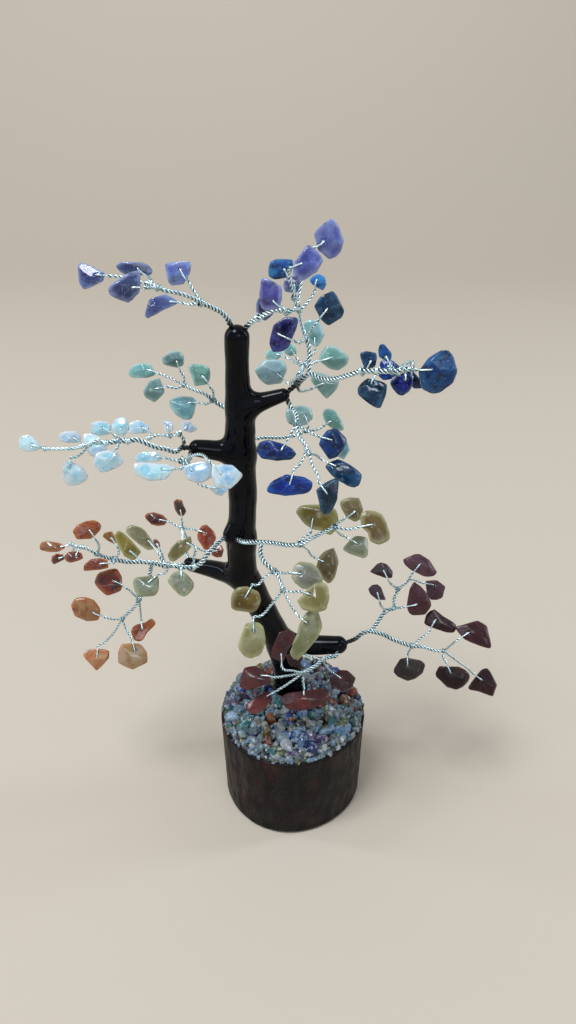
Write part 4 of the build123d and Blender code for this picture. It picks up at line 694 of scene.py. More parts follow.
def put(tree, kind, inputs=None, **settings):
    """Adds a node with its settings and its inputs."""
    node = tree.nodes.new("ShaderNode" + kind)
    for name, value in settings.items():
        setattr(node, name, value)
    feed(tree, node, inputs or {})
    return node


def new_finish(name, **constants):
    """A material, its tree, its shader with the constant values set on it, and Object coordinates."""
    finish = bpy.data.materials.new(name)
    finish.use_nodes = True
    tree = finish.node_tree
    shader = tree.nodes["Principled BSDF"]
    feed(tree, shader, {socket.replace("_", " "): value for socket, value in constants.items()})
    return finish, tree, shader, put(tree, "TexCoord").outputs["Object"]


def add_patches(tree, where, colour, layers):
    """Lays soft patches over a colour, one kind after another.

    A kind is its colour, the width of its patches in millimetres, the noise level at which they
    start and are full, and how strong they are there.
    """
    for patch, width_mm, start, full, most in layers:
        size = {"Vector": where, "Scale": per_patch(width_mm), "Detail": FINE_DETAIL}
        levels = {"Value": put(tree, "TexNoise", size), "From Min": start, "From Max": full, "To Max": most}
        share = put(tree, "MapRange", levels, **SOFT)
        colour = put(tree, "Mix", {"Factor": share, "A": colour, "B": patch}, **COLOUR_MIX)
    return colour


def add_skin(tree, shader, where, smoothest, roughest, cloud_mm, relief_mm, depth_mm):
    """Roughness that drifts between two values in cloudy patches, and a relief of that width and depth."""
    cloud = put(tree, "TexNoise", {"Vector": where, "Scale": per_patch(cloud_mm)})
    levels = {"Value": cloud, "From Min": CLOUD_START, "From Max": CLOUD_FULL,
              "To Min": smoothest, "To Max": roughest}
    size = {"Vector": where, "Scale": per_patch(relief_mm), "Detail": FINE_DETAIL}
    bump = put(tree, "Bump", {"Height": put(tree, "TexNoise", size), "Distance": depth_mm * MM})
    feed(tree, shader, {"Roughness": put(tree, "MapRange", levels, **SOFT), "Normal": bump})


print("mid grey is", round(linear("#808080")[0], 3), "in linear light")

# %% [markdown]
# ## Tumbled stones
#
# The stones are chips of rock that were tumbled with grit until their edges went soft, and were then
# drilled. A chip has an outline, a front and a back that slope away from its middle, and a few flat
# places where it broke. Each of these is a plane. A soft maximum over all the planes says how far out
# a point lies, and where it is 1 is the stone's skin: the higher the power, the sharper the edges.
#
# The grid runs round the drilled hole and from the front over the rim to the back, and then through
# the hole. So the hole is real, and the grid closes on itself both ways like a ring doughnut.

# %% A stone's frame, outline and flats
OUTLINE_TURNS = 240
FLATS = 10
FLAT_SLANT = 0.75
FLAT_REACHES = (0.76, 0.97)
FACET_TURNS_DEG = (80, -95, 170)
FACETS = len(FACET_TURNS_DEG)
FACET_DRIFT_DEG = 28
FACET_MIDDLES = (0.36, 0.48)
FACET_RIMS = (0.04, 0.2)
FACET_RIM_SHARE = 0.9
GROWTH = 1.014
HALVINGS = 18
NEARLY_NONE = 1e-9


def turned(vector, axis, degrees):
    """The vector turned about an axis: its part along the axis stays and the rest goes round."""
    angle = math.radians(degrees)
    along = axis * np.dot(axis, vector)
    return along + (vector - along) * math.cos(angle) + np.cross(axis, vector) * math.sin(angle)


def edge_reach(start, angles, corners):
    """Distance from a point inside an outline to its edge, where the ray of each angle crosses it."""
    way = np.stack([np.cos(angles), np.sin(angles)], -1)[:, None]
    side = np.roll(corners, -1, 0) - corners
    off = corners - start
    turn = way[..., 0] * side[:, 1] - way[..., 1] * side[:, 0]
    turn = np.where(np.abs(turn) < NEARLY_NONE, NEARLY_NONE, turn)
    reach = (off[:, 0] * side[:, 1] - off[:, 1] * side[:, 0]) / turn
    along = (off[:, 0] * way[..., 1] - off[:, 1] * way[..., 0]) / turn
    crossed = (reach > 0) & (along >= -NEARLY_NONE) & (along <= 1 + NEARLY_NONE)
    return np.where(crossed, reach, np.inf).min(1)


def stone_shape(row, power, softness_deg, random):
    """The planes of one stone, in the frame of its own face: east, north and the way it faces.

    Rounding the outline is a running mean of its radius over the angle. The profile's planes pass
    through neighbouring rings of share and height. A flat lies square to a random direction, a
    little nearer than the farthest corner that way. Three facets slope from near the middle of the
    front to its rim, so they meet in ridges: each is the plane through two heights above the outline.
    """
    pixels = np.array(row["outline"], float)
    centre = place(*pixels.mean(0), row["depth_share"])
    face = unit(EYE - centre)
    level = unit(np.cross(UPRIGHT, face))
    turn, tip = row["lean"]
    face = turned(turned(face, level, -tip), UPRIGHT, turn)
    east = unit(np.cross(UPRIGHT, face))
    north = np.cross(face, east)

    def on_plane(spots):
        way = sight(spots)
        return EYE + way * (((centre - EYE) @ face) / (way @ face))[..., None]

    outline = on_plane(pixels) - centre
    hole = on_plane(np.array(row["hole"], float)) - centre
    axes = np.stack([east, north], 1)
    corners = outline @ axes
    middles = (corners + np.roll(corners, -1, 0)) / 2
    toward = np.arctan2(middles[:, 1], middles[:, 0])
    nowhere = np.zeros(2)
    chords = edge_reach(nowhere, toward, corners) + edge_reach(nowhere, toward + math.pi, corners)
    thickness = chords.min() * row["thick_share"]

    angles = np.arange(OUTLINE_TURNS) * math.tau / OUTLINE_TURNS
    radii = edge_reach(nowhere, angles, corners)
    spread = np.minimum(angles, math.tau - angles) / math.radians(softness_deg)
    kernel = np.exp(-spread ** 2 / 2)
    radii = np.fft.irfft(np.fft.rfft(radii) * np.fft.rfft(kernel / kernel.sum()), OUTLINE_TURNS)

    shares, heights = np.array(STONE_RINGS).T
    cross = shares[:-1] * heights[1:] - shares[1:] * heights[:-1]
    slopes = np.stack([heights[1:] - heights[:-1], shares[:-1] - shares[1:]], -1) / cross[:, None]
    slopes = np.concatenate([slopes, [[0, 1 / heights[0]], [0, 1 / heights[-1]]]])

    side = np.where(np.arange(FLATS) % 2, 1, -1)[:, None]
    flats = unit(face * side * FLAT_SLANT + unit(random.normal(size=(FLATS, 3))))
    body = np.concatenate([outline * share + face * height * thickness for share, height in STONE_RINGS])
    reaches = (body @ flats.T).max(0) * random.uniform(*FLAT_REACHES, FLATS)

    toward = np.radians(FACET_TURNS_DEG + random.uniform(-FACET_DRIFT_DEG, FACET_DRIFT_DEG, FACETS))
    rims = edge_reach(nowhere, toward, corners)[:, None] * FACET_RIM_SHARE
    middle = random.uniform(*FACET_MIDDLES, (FACETS, 1))
    drop = (middle - random.uniform(*FACET_RIMS, (FACETS, 1))) * thickness
    outward = np.cos(toward)[:, None] * east + np.sin(toward)[:, None] * north
    flats = np.concatenate([flats, face * rims + outward * drop])
    reaches = np.concatenate([reaches, (rims * middle * thickness)[:, 0]])
    return dict(centre=centre, face=face, east=east, north=north, hole=centre + hole, corners=corners,
                hole_spot=hole @ axes, thickness=thickness, angles=angles, radii=radii, slopes=slopes,
                flats=flats, reaches=reaches, power=power)


def edge_share(shape, points):
    """How far out towards the outline's edge a point lies, seen along the way that the stone faces."""
    rel = (points - shape["centre"]) / GROWTH
    x, y = rel @ shape["east"], rel @ shape["north"]
    return np.hypot(x, y) / np.interp(np.arctan2(y, x), shape["angles"], shape["radii"], period=math.tau)


def how_far_out(shape, points):
    """Soft maximum over a stone's planes: below 1 inside it, 1 on its skin.

    A soft maximum is a little above the highest of its planes, so GROWTH gives back that size.
    """
    rel = (points - shape["centre"]) / GROWTH
    height = rel @ shape["face"] / shape["thickness"]
    profile = np.stack([edge_share(shape, points), height], -1) @ shape["slopes"].T
    broken = rel @ shape["flats"].T / shape["reaches"]
    planes = np.maximum(np.concatenate([profile, broken], -1), 0)
    return np.sum(planes ** shape["power"], -1) ** (1 / shape["power"])


def out_to_skin(shape, starts, ways, farthest=2.0):
    """Share of each way at which it leaves the stone, found by halving."""
    near = np.zeros(np.broadcast_shapes(starts.shape, ways.shape)[:-1])
    far = np.full(near.shape, farthest)
    for _ in range(HALVINGS):
        middle = (near + far) / 2
        inside = how_far_out(shape, starts + ways * middle[..., None]) < 1
        near, far = np.where(inside, middle, near), np.where(inside, far, middle)
    return near


print("profile planes for each stone", len(STONE_RINGS) + 1, "and flats", FLATS)

# %% A stone's skin
HOLE_RADIUS = 0.52
RIM_SHARE = 1.4
STEEPEST_START = 0.95
HOLE_SOFT_DEPTH = 0.22
STONE_TURNS = 72
STONE_STEPS = 26
WAVES = 4
# Between which distances, in millimetres, a wave goes on by one radian
WAVE_STRIDES = (0.5, 1.1)
WOBBLE_SHARE = 0.02


def stone_skin(shape, random):
    """Grid round the drilled hole, closed both ways.

    Down the rows the way swings from the face's side over the rim to the back, and each way is as
    long as the stone is there. Where it leaves the stone is the skin. A sum of slow waves moves it
    a little. The last two rows are the hole's wall.
    """
    turn = np.arange(STONE_TURNS) * math.tau / STONE_TURNS
    round_hole = np.cos(turn)[:, None] * shape["east"] + np.sin(turn)[:, None] * shape["north"]
    reach = edge_reach(shape["hole_spot"], turn, shape["corners"]) * GROWTH
    hole, face = shape["hole"], shape["face"]
    through = np.stack([face, -face]) * shape["thickness"]
    front, back = out_to_skin(shape, hole, through) * shape["thickness"]
    first = np.arccos(np.minimum(HOLE_RADIUS * RIM_SHARE / reach, STEEPEST_START))
    swing = first * np.linspace(1, -1, STONE_STEPS)[:, None]
    height = np.where(swing > 0, front, back) * np.sin(swing)
    ways = round_hole * (reach * np.cos(swing))[..., None] + face * height[..., None]
    share = out_to_skin(shape, hole, ways)
    points = hole + ways * share[..., None]
    directions = unit(random.normal(size=(WAVES, 3))) / random.uniform(*WAVE_STRIDES, (WAVES, 1))
    waves = np.sin((points @ directions.T) + random.uniform(0, math.tau, WAVES)).mean(-1)
    points = hole + (points - hole) * (1 + WOBBLE_SHARE * waves)[..., None]
    wall = []
    for row, side in ((points[-1], 1), (points[0], -1)):
        deep = (row - hole) @ face + side * HOLE_SOFT_DEPTH
        wall.append(hole + round_hole * HOLE_RADIUS + deep[:, None] * face)
    points = np.concatenate([points, wall]).reshape(-1, 3)
    return points, facing_out(points, grid_faces(STONE_STEPS + 2, STONE_TURNS, True, True))


print("points for each stone", (STONE_STEPS + 2) * STONE_TURNS)

# %% [markdown]
# ## What each kind of stone is
#
# Amethyst, quartz, carnelian and aventurine are quartzes: light goes into them, so they get some
# transmission and an index of 1.54. Lapis and red jasper are opaque rocks, and jade-like stones are
# waxy. One material serves all stones of a kind. What differs from stone to stone, its own colour
# and the colour of its zones, is kept on the mesh as two colour attributes.

# %% Stone finishes
CRACK_DETAIL = 2.0
CRACK_BEND = 0.6
ZONE_LEVELS = (0.38, 0.62)
# Share of the way out to the outline at which the painted glow starts
PAINTED_GLOW_START = 0.55


def add_cracks(tree, where, colour, crack, wide_mm, thickness, most):
    """Fine lines, where a noise pattern crosses its middle level of a half."""
    size = {"Vector": where, "Scale": per_patch(wide_mm), "Detail": CRACK_DETAIL, "Distortion": CRACK_BEND}
    past_middle = put(tree, "Math", {"Value": put(tree, "TexNoise", size)}, operation="SUBTRACT")
    off = put(tree, "Math", {"Value": past_middle}, operation="ABSOLUTE")
    levels = {"Value": off, "From Max": thickness, "To Min": most, "To Max": 0.0}
    share = put(tree, "MapRange", levels, **SOFT)
    return put(tree, "Mix", {"Factor": share, "A": colour, "B": crack}, **COLOUR_MIX)


def stone_finish(name, zone_mm, painted_glow_colour, painted_glow_strength, layers, cracks, skin, **constants):
    """Body and zone colour in soft zones, painted paler towards its outline, where it is thin, as a glow
    of light coming through, with its own patches and cracks.

    layers are patches as add_patches takes them, cracks what add_cracks takes after the colour, and
    skin what add_skin takes: two limits of roughness and three sizes in millimetres.
    """
    finish, tree, shader, where = new_finish(name, **constants)
    body = put(tree, "Attribute", attribute_name="body_colour").outputs["Color"]
    zone = put(tree, "Attribute", attribute_name="zone_colour").outputs["Color"]
    colour = add_patches(tree, where, body, [(zone, zone_mm, *ZONE_LEVELS, 1.0)])
    # A painted glow: paler towards the outline, for light coming through the thin edges
    thin = put(tree, "Attribute", attribute_name="thin_share").outputs["Fac"]
    levels = {"Value": thin, "From Min": PAINTED_GLOW_START, "From Max": 1.0, "To Max": painted_glow_strength}
    glow = put(tree, "MapRange", levels, **SOFT)
    colour = put(tree, "Mix", {"Factor": glow, "A": colour, "B": painted_glow_colour}, **COLOUR_MIX)
    colour = add_patches(tree, where, colour, layers)
    feed(tree, shader, {"Base Color": add_cracks(tree, where, colour, *cracks)})
    add_skin(tree, shader, where, *skin)
    return finish


# The third and fourth values of each finish are a painted glow: the colour that the stone is painted towards
# its thin outline, as light coming through, and how much of it.
FINISHES = {
    # violet quartz: glassy and deep, with frosty chips and a painted glow: paler edges, as if lit through
    "amethyst": stone_finish(
        "tumbled_amethyst", 4.4, "#b4c4f4", 0.7,
        [("#241a4a", 3.4, 0.54, 0.7, 0.7), ("#b4c0ec", 2.6, 0.6, 0.76, 0.4)],
        ("#c2cdf0", 5.0, 0.012, 0.22), (0.05, 0.15, 2.5, 1.4, 0.12),
        IOR=1.54, Specular_IOR_Level=0.35, Transmission_Weight=0.35),
    # lazurite rock: opaque, deep blue, clouded with nearly black blue and grey-white calcite
    "lapis": stone_finish(
        "tumbled_lapis", 3.4, "#4f7fa8", 0.25,
        [("#081026", 2.8, 0.48, 0.66, 0.8), ("#6f90a8", 1.5, 0.62, 0.76, 0.4)],
        ("#93b0c4", 3.4, 0.012, 0.2), (0.1, 0.24, 2.0, 1.2, 0.06), IOR=1.5, Specular_IOR_Level=0.3),
    # quartz with green mica: cloudy and waxy, with a painted glow that makes its edges paler
    "aventurine": stone_finish(
        "tumbled_aventurine", 5.0, "#c4e0da", 0.5,
        [("#4a7468", 3.0, 0.56, 0.74, 0.45), ("#d8ebe6", 1.4, 0.6, 0.76, 0.5)],
        ("#3f6a60", 5.0, 0.012, 0.35), (0.08, 0.2, 3.0, 1.6, 0.08), IOR=1.54, Specular_IOR_Level=0.4),
    # rock crystal full of veils: bright bluish white, glassy, with blue-grey cracks inside
    "clear_quartz": stone_finish(
        "tumbled_rock_crystal", 5.0, "#fafeff", 0.8,
        [("#84a8c8", 4.0, 0.56, 0.7, 0.35), ("#f6fdff", 3.2, 0.48, 0.64, 0.65)],
        ("#5f94b8", 5.0, 0.014, 0.3), (0.02, 0.06, 2.0, 3.0, 0.2), IOR=1.54, Transmission_Weight=0.3,
        Subsurface_Weight=0.4, Subsurface_Scale=0.002, Subsurface_Radius=(0.8, 0.9, 1)),
    # serpentine sold as jade: waxy, olive to ochre, with a few brown specks
    "yellow_jade": stone_finish(
        "tumbled_yellow_jade", 6.0, "#c9cc9a", 0.4,
        [("#5c4a22", 3.2, 0.6, 0.78, 0.4), ("#cfd0a8", 2.0, 0.6, 0.78, 0.4)],
        ("#5a4a1e", 6.0, 0.012, 0.4), (0.14, 0.28, 3.0, 1.6, 0.08), IOR=1.56, Specular_IOR_Level=0.35),
    # banded orange quartz: glassy, a painted pale amber glow at its thin edges, dark red where it is thick
    "carnelian": stone_finish(
        "tumbled_carnelian", 4.4, "#d88a50", 0.4,
        [("#4a1410", 3.0, 0.56, 0.74, 0.7), ("#dcb48a", 1.8, 0.62, 0.78, 0.45)],
        ("#e2bd92", 4.4, 0.014, 0.2), (0.08, 0.2, 2.6, 1.5, 0.08), IOR=1.54, Transmission_Weight=0.15),
    # iron-red rock: opaque, satin and almost even, with darker clouds
    "red_jasper": stone_finish(
        "tumbled_red_jasper", 6.0, "#6a3c3a", 0.15,
        [("#1c0e12", 3.6, 0.52, 0.72, 0.5), ("#7a4c44", 0.9, 0.66, 0.76, 0.4)],
        ("#8a5c50", 5.0, 0.01, 0.2), (0.2, 0.34, 3.0, 1.2, 0.05), IOR=1.54, Specular_IOR_Level=0.25),
}
print("stone finishes", sorted(FINISHES))

# %% Each stone's own colours
STONE_COLOURS = {
    "amethyst_left_stones": ("#6878c8 #849ed1", "#414898 #596aa8", "#435a8b #2c356a", "#374974 #25246a",
                             "#292c6c #4d6cb2"),
    "amethyst_right_stones": ("#5758b5 #7a8cd0", "#404599 #5f6dbc", "#55638c #484385", "#5f63b1 #48439b",
                              "#130e3f #262070"),
    "lapis_upper_stones": ("#1f4a8e #2c709f", "#216aba #418ccd", "#1e3d5d #0e273c", "#423888 #211b52"),
    "aventurine_right_stones": ("#789fab #8ba9b0", "#75a8a5 #89b1ad", "#6eaea7 #80b5b0", "#75a1a3 #5b8e86",
                                "#75a49b #63958b", "#678980 #789a93"),
    "lapis_right_stones": ("#07294b #104368", "#163f59 #07223a", "#0d4581 #175f96", "#041974 #0d3d8f",
                           "#062962 #041b46", "#020f5e #061d73", "#031031 #051b42", "#093468 #0f4777"),
    "lapis_lower_stones": ("#031142 #072e70", "#07377d #052755", "#103a5d #07233b"),
    "lapis_lower_hanging_long": ("#032274 #05389b",),
    "lapis_lower_hanging_dark": ("#0b2434 #133647",),
    "aventurine_low_stones": ("#779a96 #88a8a2", "#699f95 #7ca8a0", "#5b939a #77a4aa"),
    "aventurine_left_stones": ("#73a8a8 #5f9792", "#5f807f #779394", "#4f8073 #659588", "#5f837f #759594",
                               "#70a3ab #649399"),
    "quartz_left_stones": ("#aeecff #d2f8ff", "#bcdcf8 #d4eafc", "#bcd8f6 #c2f0ff", "#a4e8fc #ccf6ff",
                           "#b0ecff #dcfaff", "#b0def8 #d0f0ff", "#c0d4f2 #d0e2fc", "#bcd6f4 #d4e8fc"),
    "quartz_hanging_outer": ("#a4e4ff #ccf2ff",),
    "quartz_hanging_inner": ("#a6e4fc #ccf4ff",),
    "quartz_lower_stones": ("#a6e0f8 #ccf2ff", "#a0e4f8 #ccf6ff", "#a4d0f4 #bce4ff", "#a0d4f6 #ccf0ff",
                            "#a0d8ff #bce6ff"),
    "yellow_right_stones": ("#5f531a #716327", "#6d5e3f #5e5030", "#53411c #5f4e28", "#7c816b #6d755f",
                            "#5c4f34 #53452a"),
    "yellow_lower_stones": ("#737367 #646655", "#6a6235 #787045", "#666745 #747653"),
    "yellow_hanging_ochre": ("#4f3d09 #604d0f",),
    "yellow_hanging_pale": ("#767348 #86845e",),
    "yellow_left_stones": ("#575026 #6b6236", "#6b725e #7a816c", "#6e7863 #7f8571", "#675e1f #7c6e2b",
                           "#696444 #7c7656"),
    "carnelian_left_stones": ("#8f6945 #834b2d", "#54211e #6c3029", "#5e2723 #743b37", "#893719 #9b4e21",
                              "#792a16 #5e1910", "#8f692d #835423", "#59332d #6b4339"),
    "carnelian_lower_stones": ("#3c0c06 #74230a", "#997147 #8c572d", "#a05120 #923f14"),
    "carnelian_hanging_peach": ("#b88f67 #b06a3d",),
    "carnelian_hanging_pale": ("#ab987f #a07a45",),
    "carnelian_back_stones": ("#50171a #370e11", "#432d28 #372222", "#8d3720 #7b2d1b", "#873722 #732c20"),
    "jasper_upper_stones": ("#302024 #3b2a32", "#3a3137 #473d44", "#48292f #533740", "#4d3039 #5a414c",
                            "#3e1c20 #492932"),
    "jasper_right_stones": ("#210c12 #2b151b", "#2d0f15 #35141a", "#240c11 #2b1317"),
    "jasper_hanging_inner": ("#251f1d #302b27",),
    "jasper_hanging_outer": ("#180306 #100204",),
    "jasper_front_stones": ("#4a2222 #34191b", "#4c2524 #3a1d1d", "#5c2422 #47191a", "#5a2623 #3c1b1c",
                            "#462423 #331a1c", "#3c1f22 #2e181b"),
}
# Power of the soft maximum and softness of the outline, in degrees: jasper chips kept their edges
EDGES = {"amethyst": (60, 3), "lapis": (44, 3), "aventurine": (34, 3), "clear_quartz": (70, 2),
         "yellow_jade": (44, 3), "carnelian": (50, 3), "red_jasper": (90, 2)}
print("stones with colours", sum(len(rows) for rows in STONE_COLOURS.values()))

# %% The stones, one piece for each node
SHAPES = {}
for number, (name, branch) in enumerate(BRANCHES.items()):
    nodes = {**branch["groups"], **{node: [row] for node, row in branch["hanging"].items()}}
    for node, rows in nodes.items():
        kind = SLOT_OF[node]
        power, softness_deg = EDGES[kind]
        skins, bodies, zones, thin = [], [], [], []
        for place_in_node, (row, colours) in enumerate(zip(rows, STONE_COLOURS[node])):
            random = np.random.default_rng([number, len(node), place_in_node])
            shape = stone_shape(row, power, softness_deg, random)
            skins.append(stone_skin(shape, random))
            body_hex, zone_hex = colours.split()
            bodies.append(linear(body_hex))
            zones.append(linear(zone_hex))
            # How far out to the outline each point lies, which sets the painted glow
            thin.append(edge_share(shape, skins[-1][0]))
            SHAPES[id(row)] = shape
        make_piece("tumbled_" + node, skins, node, FINISHES[kind],
                   body_colour=bodies, zone_colour=zones, thin_share=thin)
print("stones shaped", len(SHAPES))

# %% [markdown]
# ## Twisted wire
#
# For each stone one wire goes through the hole, comes back, and its two halves are twisted together
# down to the branch. A branch is several such pairs wound into one rope. A curve with a bevel could
# draw a plain wire, but the twist is what the eye sees, so each strand is a helix round the wire's
# middle line, and a ring is carried along it.

# %% A smooth line and a strand round it
WIRE_RADIUS = 0.27
PAIR_PITCH = 2.9
LINE_STEP = 0.17
STRAND_SIDES = 7


def bent_line(knots, step=LINE_STEP):
    """Smooth line through knots: cubic arcs whose slopes at a knot follow its two neighbours."""
    knots = np.asarray(knots, float)
    runs = np.linalg.norm(np.diff(knots, axis=0), axis=1)
    along = np.concatenate([[0], np.cumsum(runs)])
    slopes = np.gradient(knots, along, axis=0)
    spots = np.linspace(0, along[-1], max(int(along[-1] / step), 2 * len(knots)))
    left = np.clip(np.searchsorted(along, spots, side="right") - 1, 0, len(runs) - 1)
    span = runs[left][:, None]
    part = (spots - along[left])[:, None] / span
    square, cube = part ** 2, part ** 3
    return ((2 * cube - 3 * square + 1) * knots[left] + (cube - 2 * square + part) * span * slopes[left]
            + (3 * square - 2 * cube) * knots[left + 1] + (cube - square) * span * slopes[left + 1])


def strand(line, away, pitch, last_out):
    """A helix round a line, and the direction out from the line at each of its points.

    The direction that the line turns to least is the last singular vector of its runs. The helix
    turns from it once in each pitch, and ends on the side that last_out names.
    """
    ahead = unit(np.gradient(line, axis=0))
    least = np.linalg.svd(ahead, full_matrices=False)[2][-1]
    across = unit(least - (ahead @ least)[:, None] * ahead)
    upright = np.cross(ahead, across)
    along = np.concatenate([[0], np.cumsum(np.linalg.norm(np.diff(line, axis=0), axis=1))])
    last = math.atan2(last_out @ upright[-1], last_out @ across[-1])
    angle = (last + math.tau * (along - along[-1]) / pitch)[:, None]
    out = across * np.cos(angle) + upright * np.sin(angle)
    return line + out * np.broadcast_to(away, len(line))[:, None], np.cross(ahead, out)


print("points on a 20 mm line", len(bent_line([[0, 0, 0], [10, 0, 0], [20, 0, 0]])))

# %% [markdown]
# ## Loops through the stones
#
# The wire leaves the twist at the stone's rim, lies over the front, dives into the hole, comes out at
# the back and returns. The heights are taken from the same formula as the stone's skin, so the wire
# lies on the stone and not in it. Stones that swing get a looser loop.

# %% Middle lines of a stone's wire
LIE_GAP = 0.04
SWING_GAP = 0.3
TWIST_END_GAP = 0.55
KNOT_SPREAD = 1.125
SWING_KNOT_SPREAD = 1.3
# Where the loop lies on the stone, as shares of the way from the hole to the rim, and what share of
# its clearance it is also pushed outward there
LOOP_STEPS = (0.92, 0.7, 0.35, 0)
LOOP_PUSHES = (1, 0.6, 0.2, 0)
LOOP_STEP = 0.12
# Painted shade between strands: the share across a strand, from its inner side, below which it is painted
# darker, and over what share the painted shade grows to full
GROOVE_SHADE_START = 0.85
GROOVE_SHADE_SOFT = 0.45


def loop_line(row, hangs):
    """The knot's place, the loop's line, and how the wire faces: over the front, through, back."""
    shape = SHAPES[id(row)]
    face, hole, centre = shape["face"], shape["hole"], shape["centre"]
    way = sight(row["twig"][-1])
    target = EYE + way * (((centre - EYE) @ face) / (way @ face))
    outward = unit(target - hole)
    toward = math.atan2(outward @ shape["north"], outward @ shape["east"])
    rim = edge_reach(shape["hole_spot"], np.array([toward]), shape["corners"])[0]
    clear = WIRE_RADIUS + (SWING_GAP if hangs else LIE_GAP)
    far_knot = hole + outward * (rim + (SWING_KNOT_SPREAD if hangs else KNOT_SPREAD))
    knot = hole + outward * (rim + TWIST_END_GAP)
    spots = hole + outward * (rim * np.array(LOOP_STEPS))[:, None]
    sides = []
    for side in (1, -1):
        up = face * side * shape["thickness"]
        height = out_to_skin(shape, spots, up) * shape["thickness"] + clear
        height[-1] -= WIRE_RADIUS
        over = spots + outward * (clear * np.array(LOOP_PUSHES))[:, None]
        sides.append(over + face * (side * height)[:, None])
    apart = face * WIRE_RADIUS
    knots = [knot + apart, *sides[0], *sides[1][::-1], knot - apart]
    return far_knot, knot, bent_line(knots, LOOP_STEP), face, np.cross(face, outward)


def branch_rows(branch):
    """All stones of a branch, those that hang clear last."""
    return sum(branch["groups"].values(), []) + list(branch["hanging"].values())


def depth_of_knot(branch, pixel):
    """Depth of the stem point that a stone's wire leaves."""
    return next(knot[2] for stem in branch["stems"] for knot in stem if knot[:2] == tuple(pixel))


def groove_share(points, middle, away, radius):
    """Painted shade on a strand that is wound round a middle line: 1 on its inner side, where the
    strands shade each other, 0 on its outer side.
    """
    distance = np.linalg.norm(points.reshape(len(middle), -1, 3) - middle[:, None], axis=-1)
    share = (distance - np.broadcast_to(away, len(middle))[:, None] + radius) / (2 * radius)
    return np.clip((GROOVE_SHADE_START - share) / GROOVE_SHADE_SOFT, 0, 1).ravel()


def stone_wire(branch, row, hangs):
    """One wire: down the twist on one side, round the loop, and back up the twist's other side."""
    far_knot, knot, loop, face, sideways = loop_line(row, hangs)
    count = len(row["twig"])
    start = depth_of_knot(branch, row["twig"][0])
    depths = start + (far_knot[1] / REACH - start) * np.arange(count) / (count - 1)
    knots = [place(*pixel, depth) for pixel, depth in zip(row["twig"][:-1], depths)]
    line = bent_line([*knots, far_knot, knot])
    going, going_aside = strand(line, WIRE_RADIUS, PAIR_PITCH, face)
    coming, coming_aside = strand(line, WIRE_RADIUS, PAIR_PITCH, -face)
    whole = np.concatenate([going[:-1], loop, coming[-2::-1]])
    loop_aside = np.broadcast_to(sideways, loop.shape)
    aside = np.concatenate([going_aside[:-1], loop_aside, -coming_aside[-2::-1]])
    middle = np.concatenate([line[:-1], np.full(loop.shape, np.inf), line[-2::-1]])
    wire = carry_ring(whole, aside, WIRE_RADIUS, STRAND_SIDES)
    return wire, groove_share(wire[0], middle, WIRE_RADIUS, WIRE_RADIUS)


print("a loop keeps", round(WIRE_RADIUS + LIE_GAP, 2), "mm off the stone, one that swings",
      round(WIRE_RADIUS + SWING_GAP, 2))

# %% [markdown]
# ## Silver craft wire
#
# The wire is copper with a bright silver plate. It is a metal, so its colour tints what it mirrors,
# and drawn wire is slightly rough along its length. Near the trunk the black resin has run on to the
# wire. How much of it there is at each point is kept on the mesh, and it mixes the two finishes. Shade
# is painted dark on the sides of the strands that face each other, by a share kept on the mesh too.

# %% Wire finish
BARE_METAL = 0.8

# silver plate on drawn copper: mirrors its surroundings, painted shade where strands meet, black under resin
wire_finish, tree, shader, where = new_finish("silver_plated_craft_wire")
resin = put(tree, "Attribute", attribute_name="resin_share").outputs["Fac"]
groove = put(tree, "Attribute", attribute_name="groove_share").outputs["Fac"]
silver = add_patches(tree, where, "#e2f8fb", [("#a8d0d8", 3.0, 0.45, 0.7, 0.8)])
# painted shade on the sides of the strands that face each other
silver = put(tree, "Mix", {"Factor": groove, "A": silver, "B": "#0a1c22"}, **COLOUR_MIX)
colour = put(tree, "Mix", {"Factor": resin, "A": silver, "B": "#060708"}, **COLOUR_MIX)
bare = put(tree, "MapRange", {"Value": resin, "To Min": BARE_METAL, "To Max": 0.0})
add_skin(tree, shader, where, 0.18, 0.34, 2.0, 0.5, 0.01)
feed(tree, shader, {"Base Color": colour, "Metallic": bare})
print("the wire's finish is", wire_finish.name)

# %% Stems and ropes
PACKING = 1.1
THINNEST_ROPE = 0.58
THICKEST_ROPE = 0.94
# A rope has two strands, and one more for each of these times the thinnest radius that it passes
STRAND_STEPS = (1.3, 1.75)
ROPE_BUMP = 1.45
ROPE_WIRE = 0.29
ROPE_SINK = 0.3
ROPE_STEP = 0.2
ROPE_SIDES = 8
WRAP_TURNS = 2.3
WRAP_PITCH = 0.52
WRAP_GAP = 0.12
WRAP_POINTS = 46
ROOT_DEPTH_SHARE = 0.4


def stem_knots(branch):
    """Real places of a branch's stems. The first one starts inside its stub."""
    middle, from_middle = STUB_TIPS[branch["tip"]]
    tip = place(*middle)
    stems = [[place(*knot) for knot in stem] for stem in branch["stems"]]
    root = tip + unit(stems[0][0] - tip) * from_middle
    stems[0][:0] = [tip + (root - tip) * ROOT_DEPTH_SHARE, root]
    return root, stems


def pairs_carried(branch):
    """How many pairs of wire each stem still carries at each of its knots, its forks' pairs too."""
    pixels = [[knot[:2] for knot in stem] for stem in branch["stems"]]
    leaving = [np.zeros(len(stem)) for stem in pixels]
    for row in branch_rows(branch):
        stem = next(number for number, stem in enumerate(pixels) if row["twig"][0] in stem)
        leaving[stem][pixels[stem].index(row["twig"][0])] += 1
    for fork in range(len(pixels) - 1, 0, -1):
        start = pixels[fork][0]
        stem = next(number for number, stem in enumerate(pixels) if start in stem)
        leaving[stem][pixels[stem].index(start)] += leaving[fork].sum()
    return [np.cumsum(stem[::-1])[::-1] for stem in leaving]


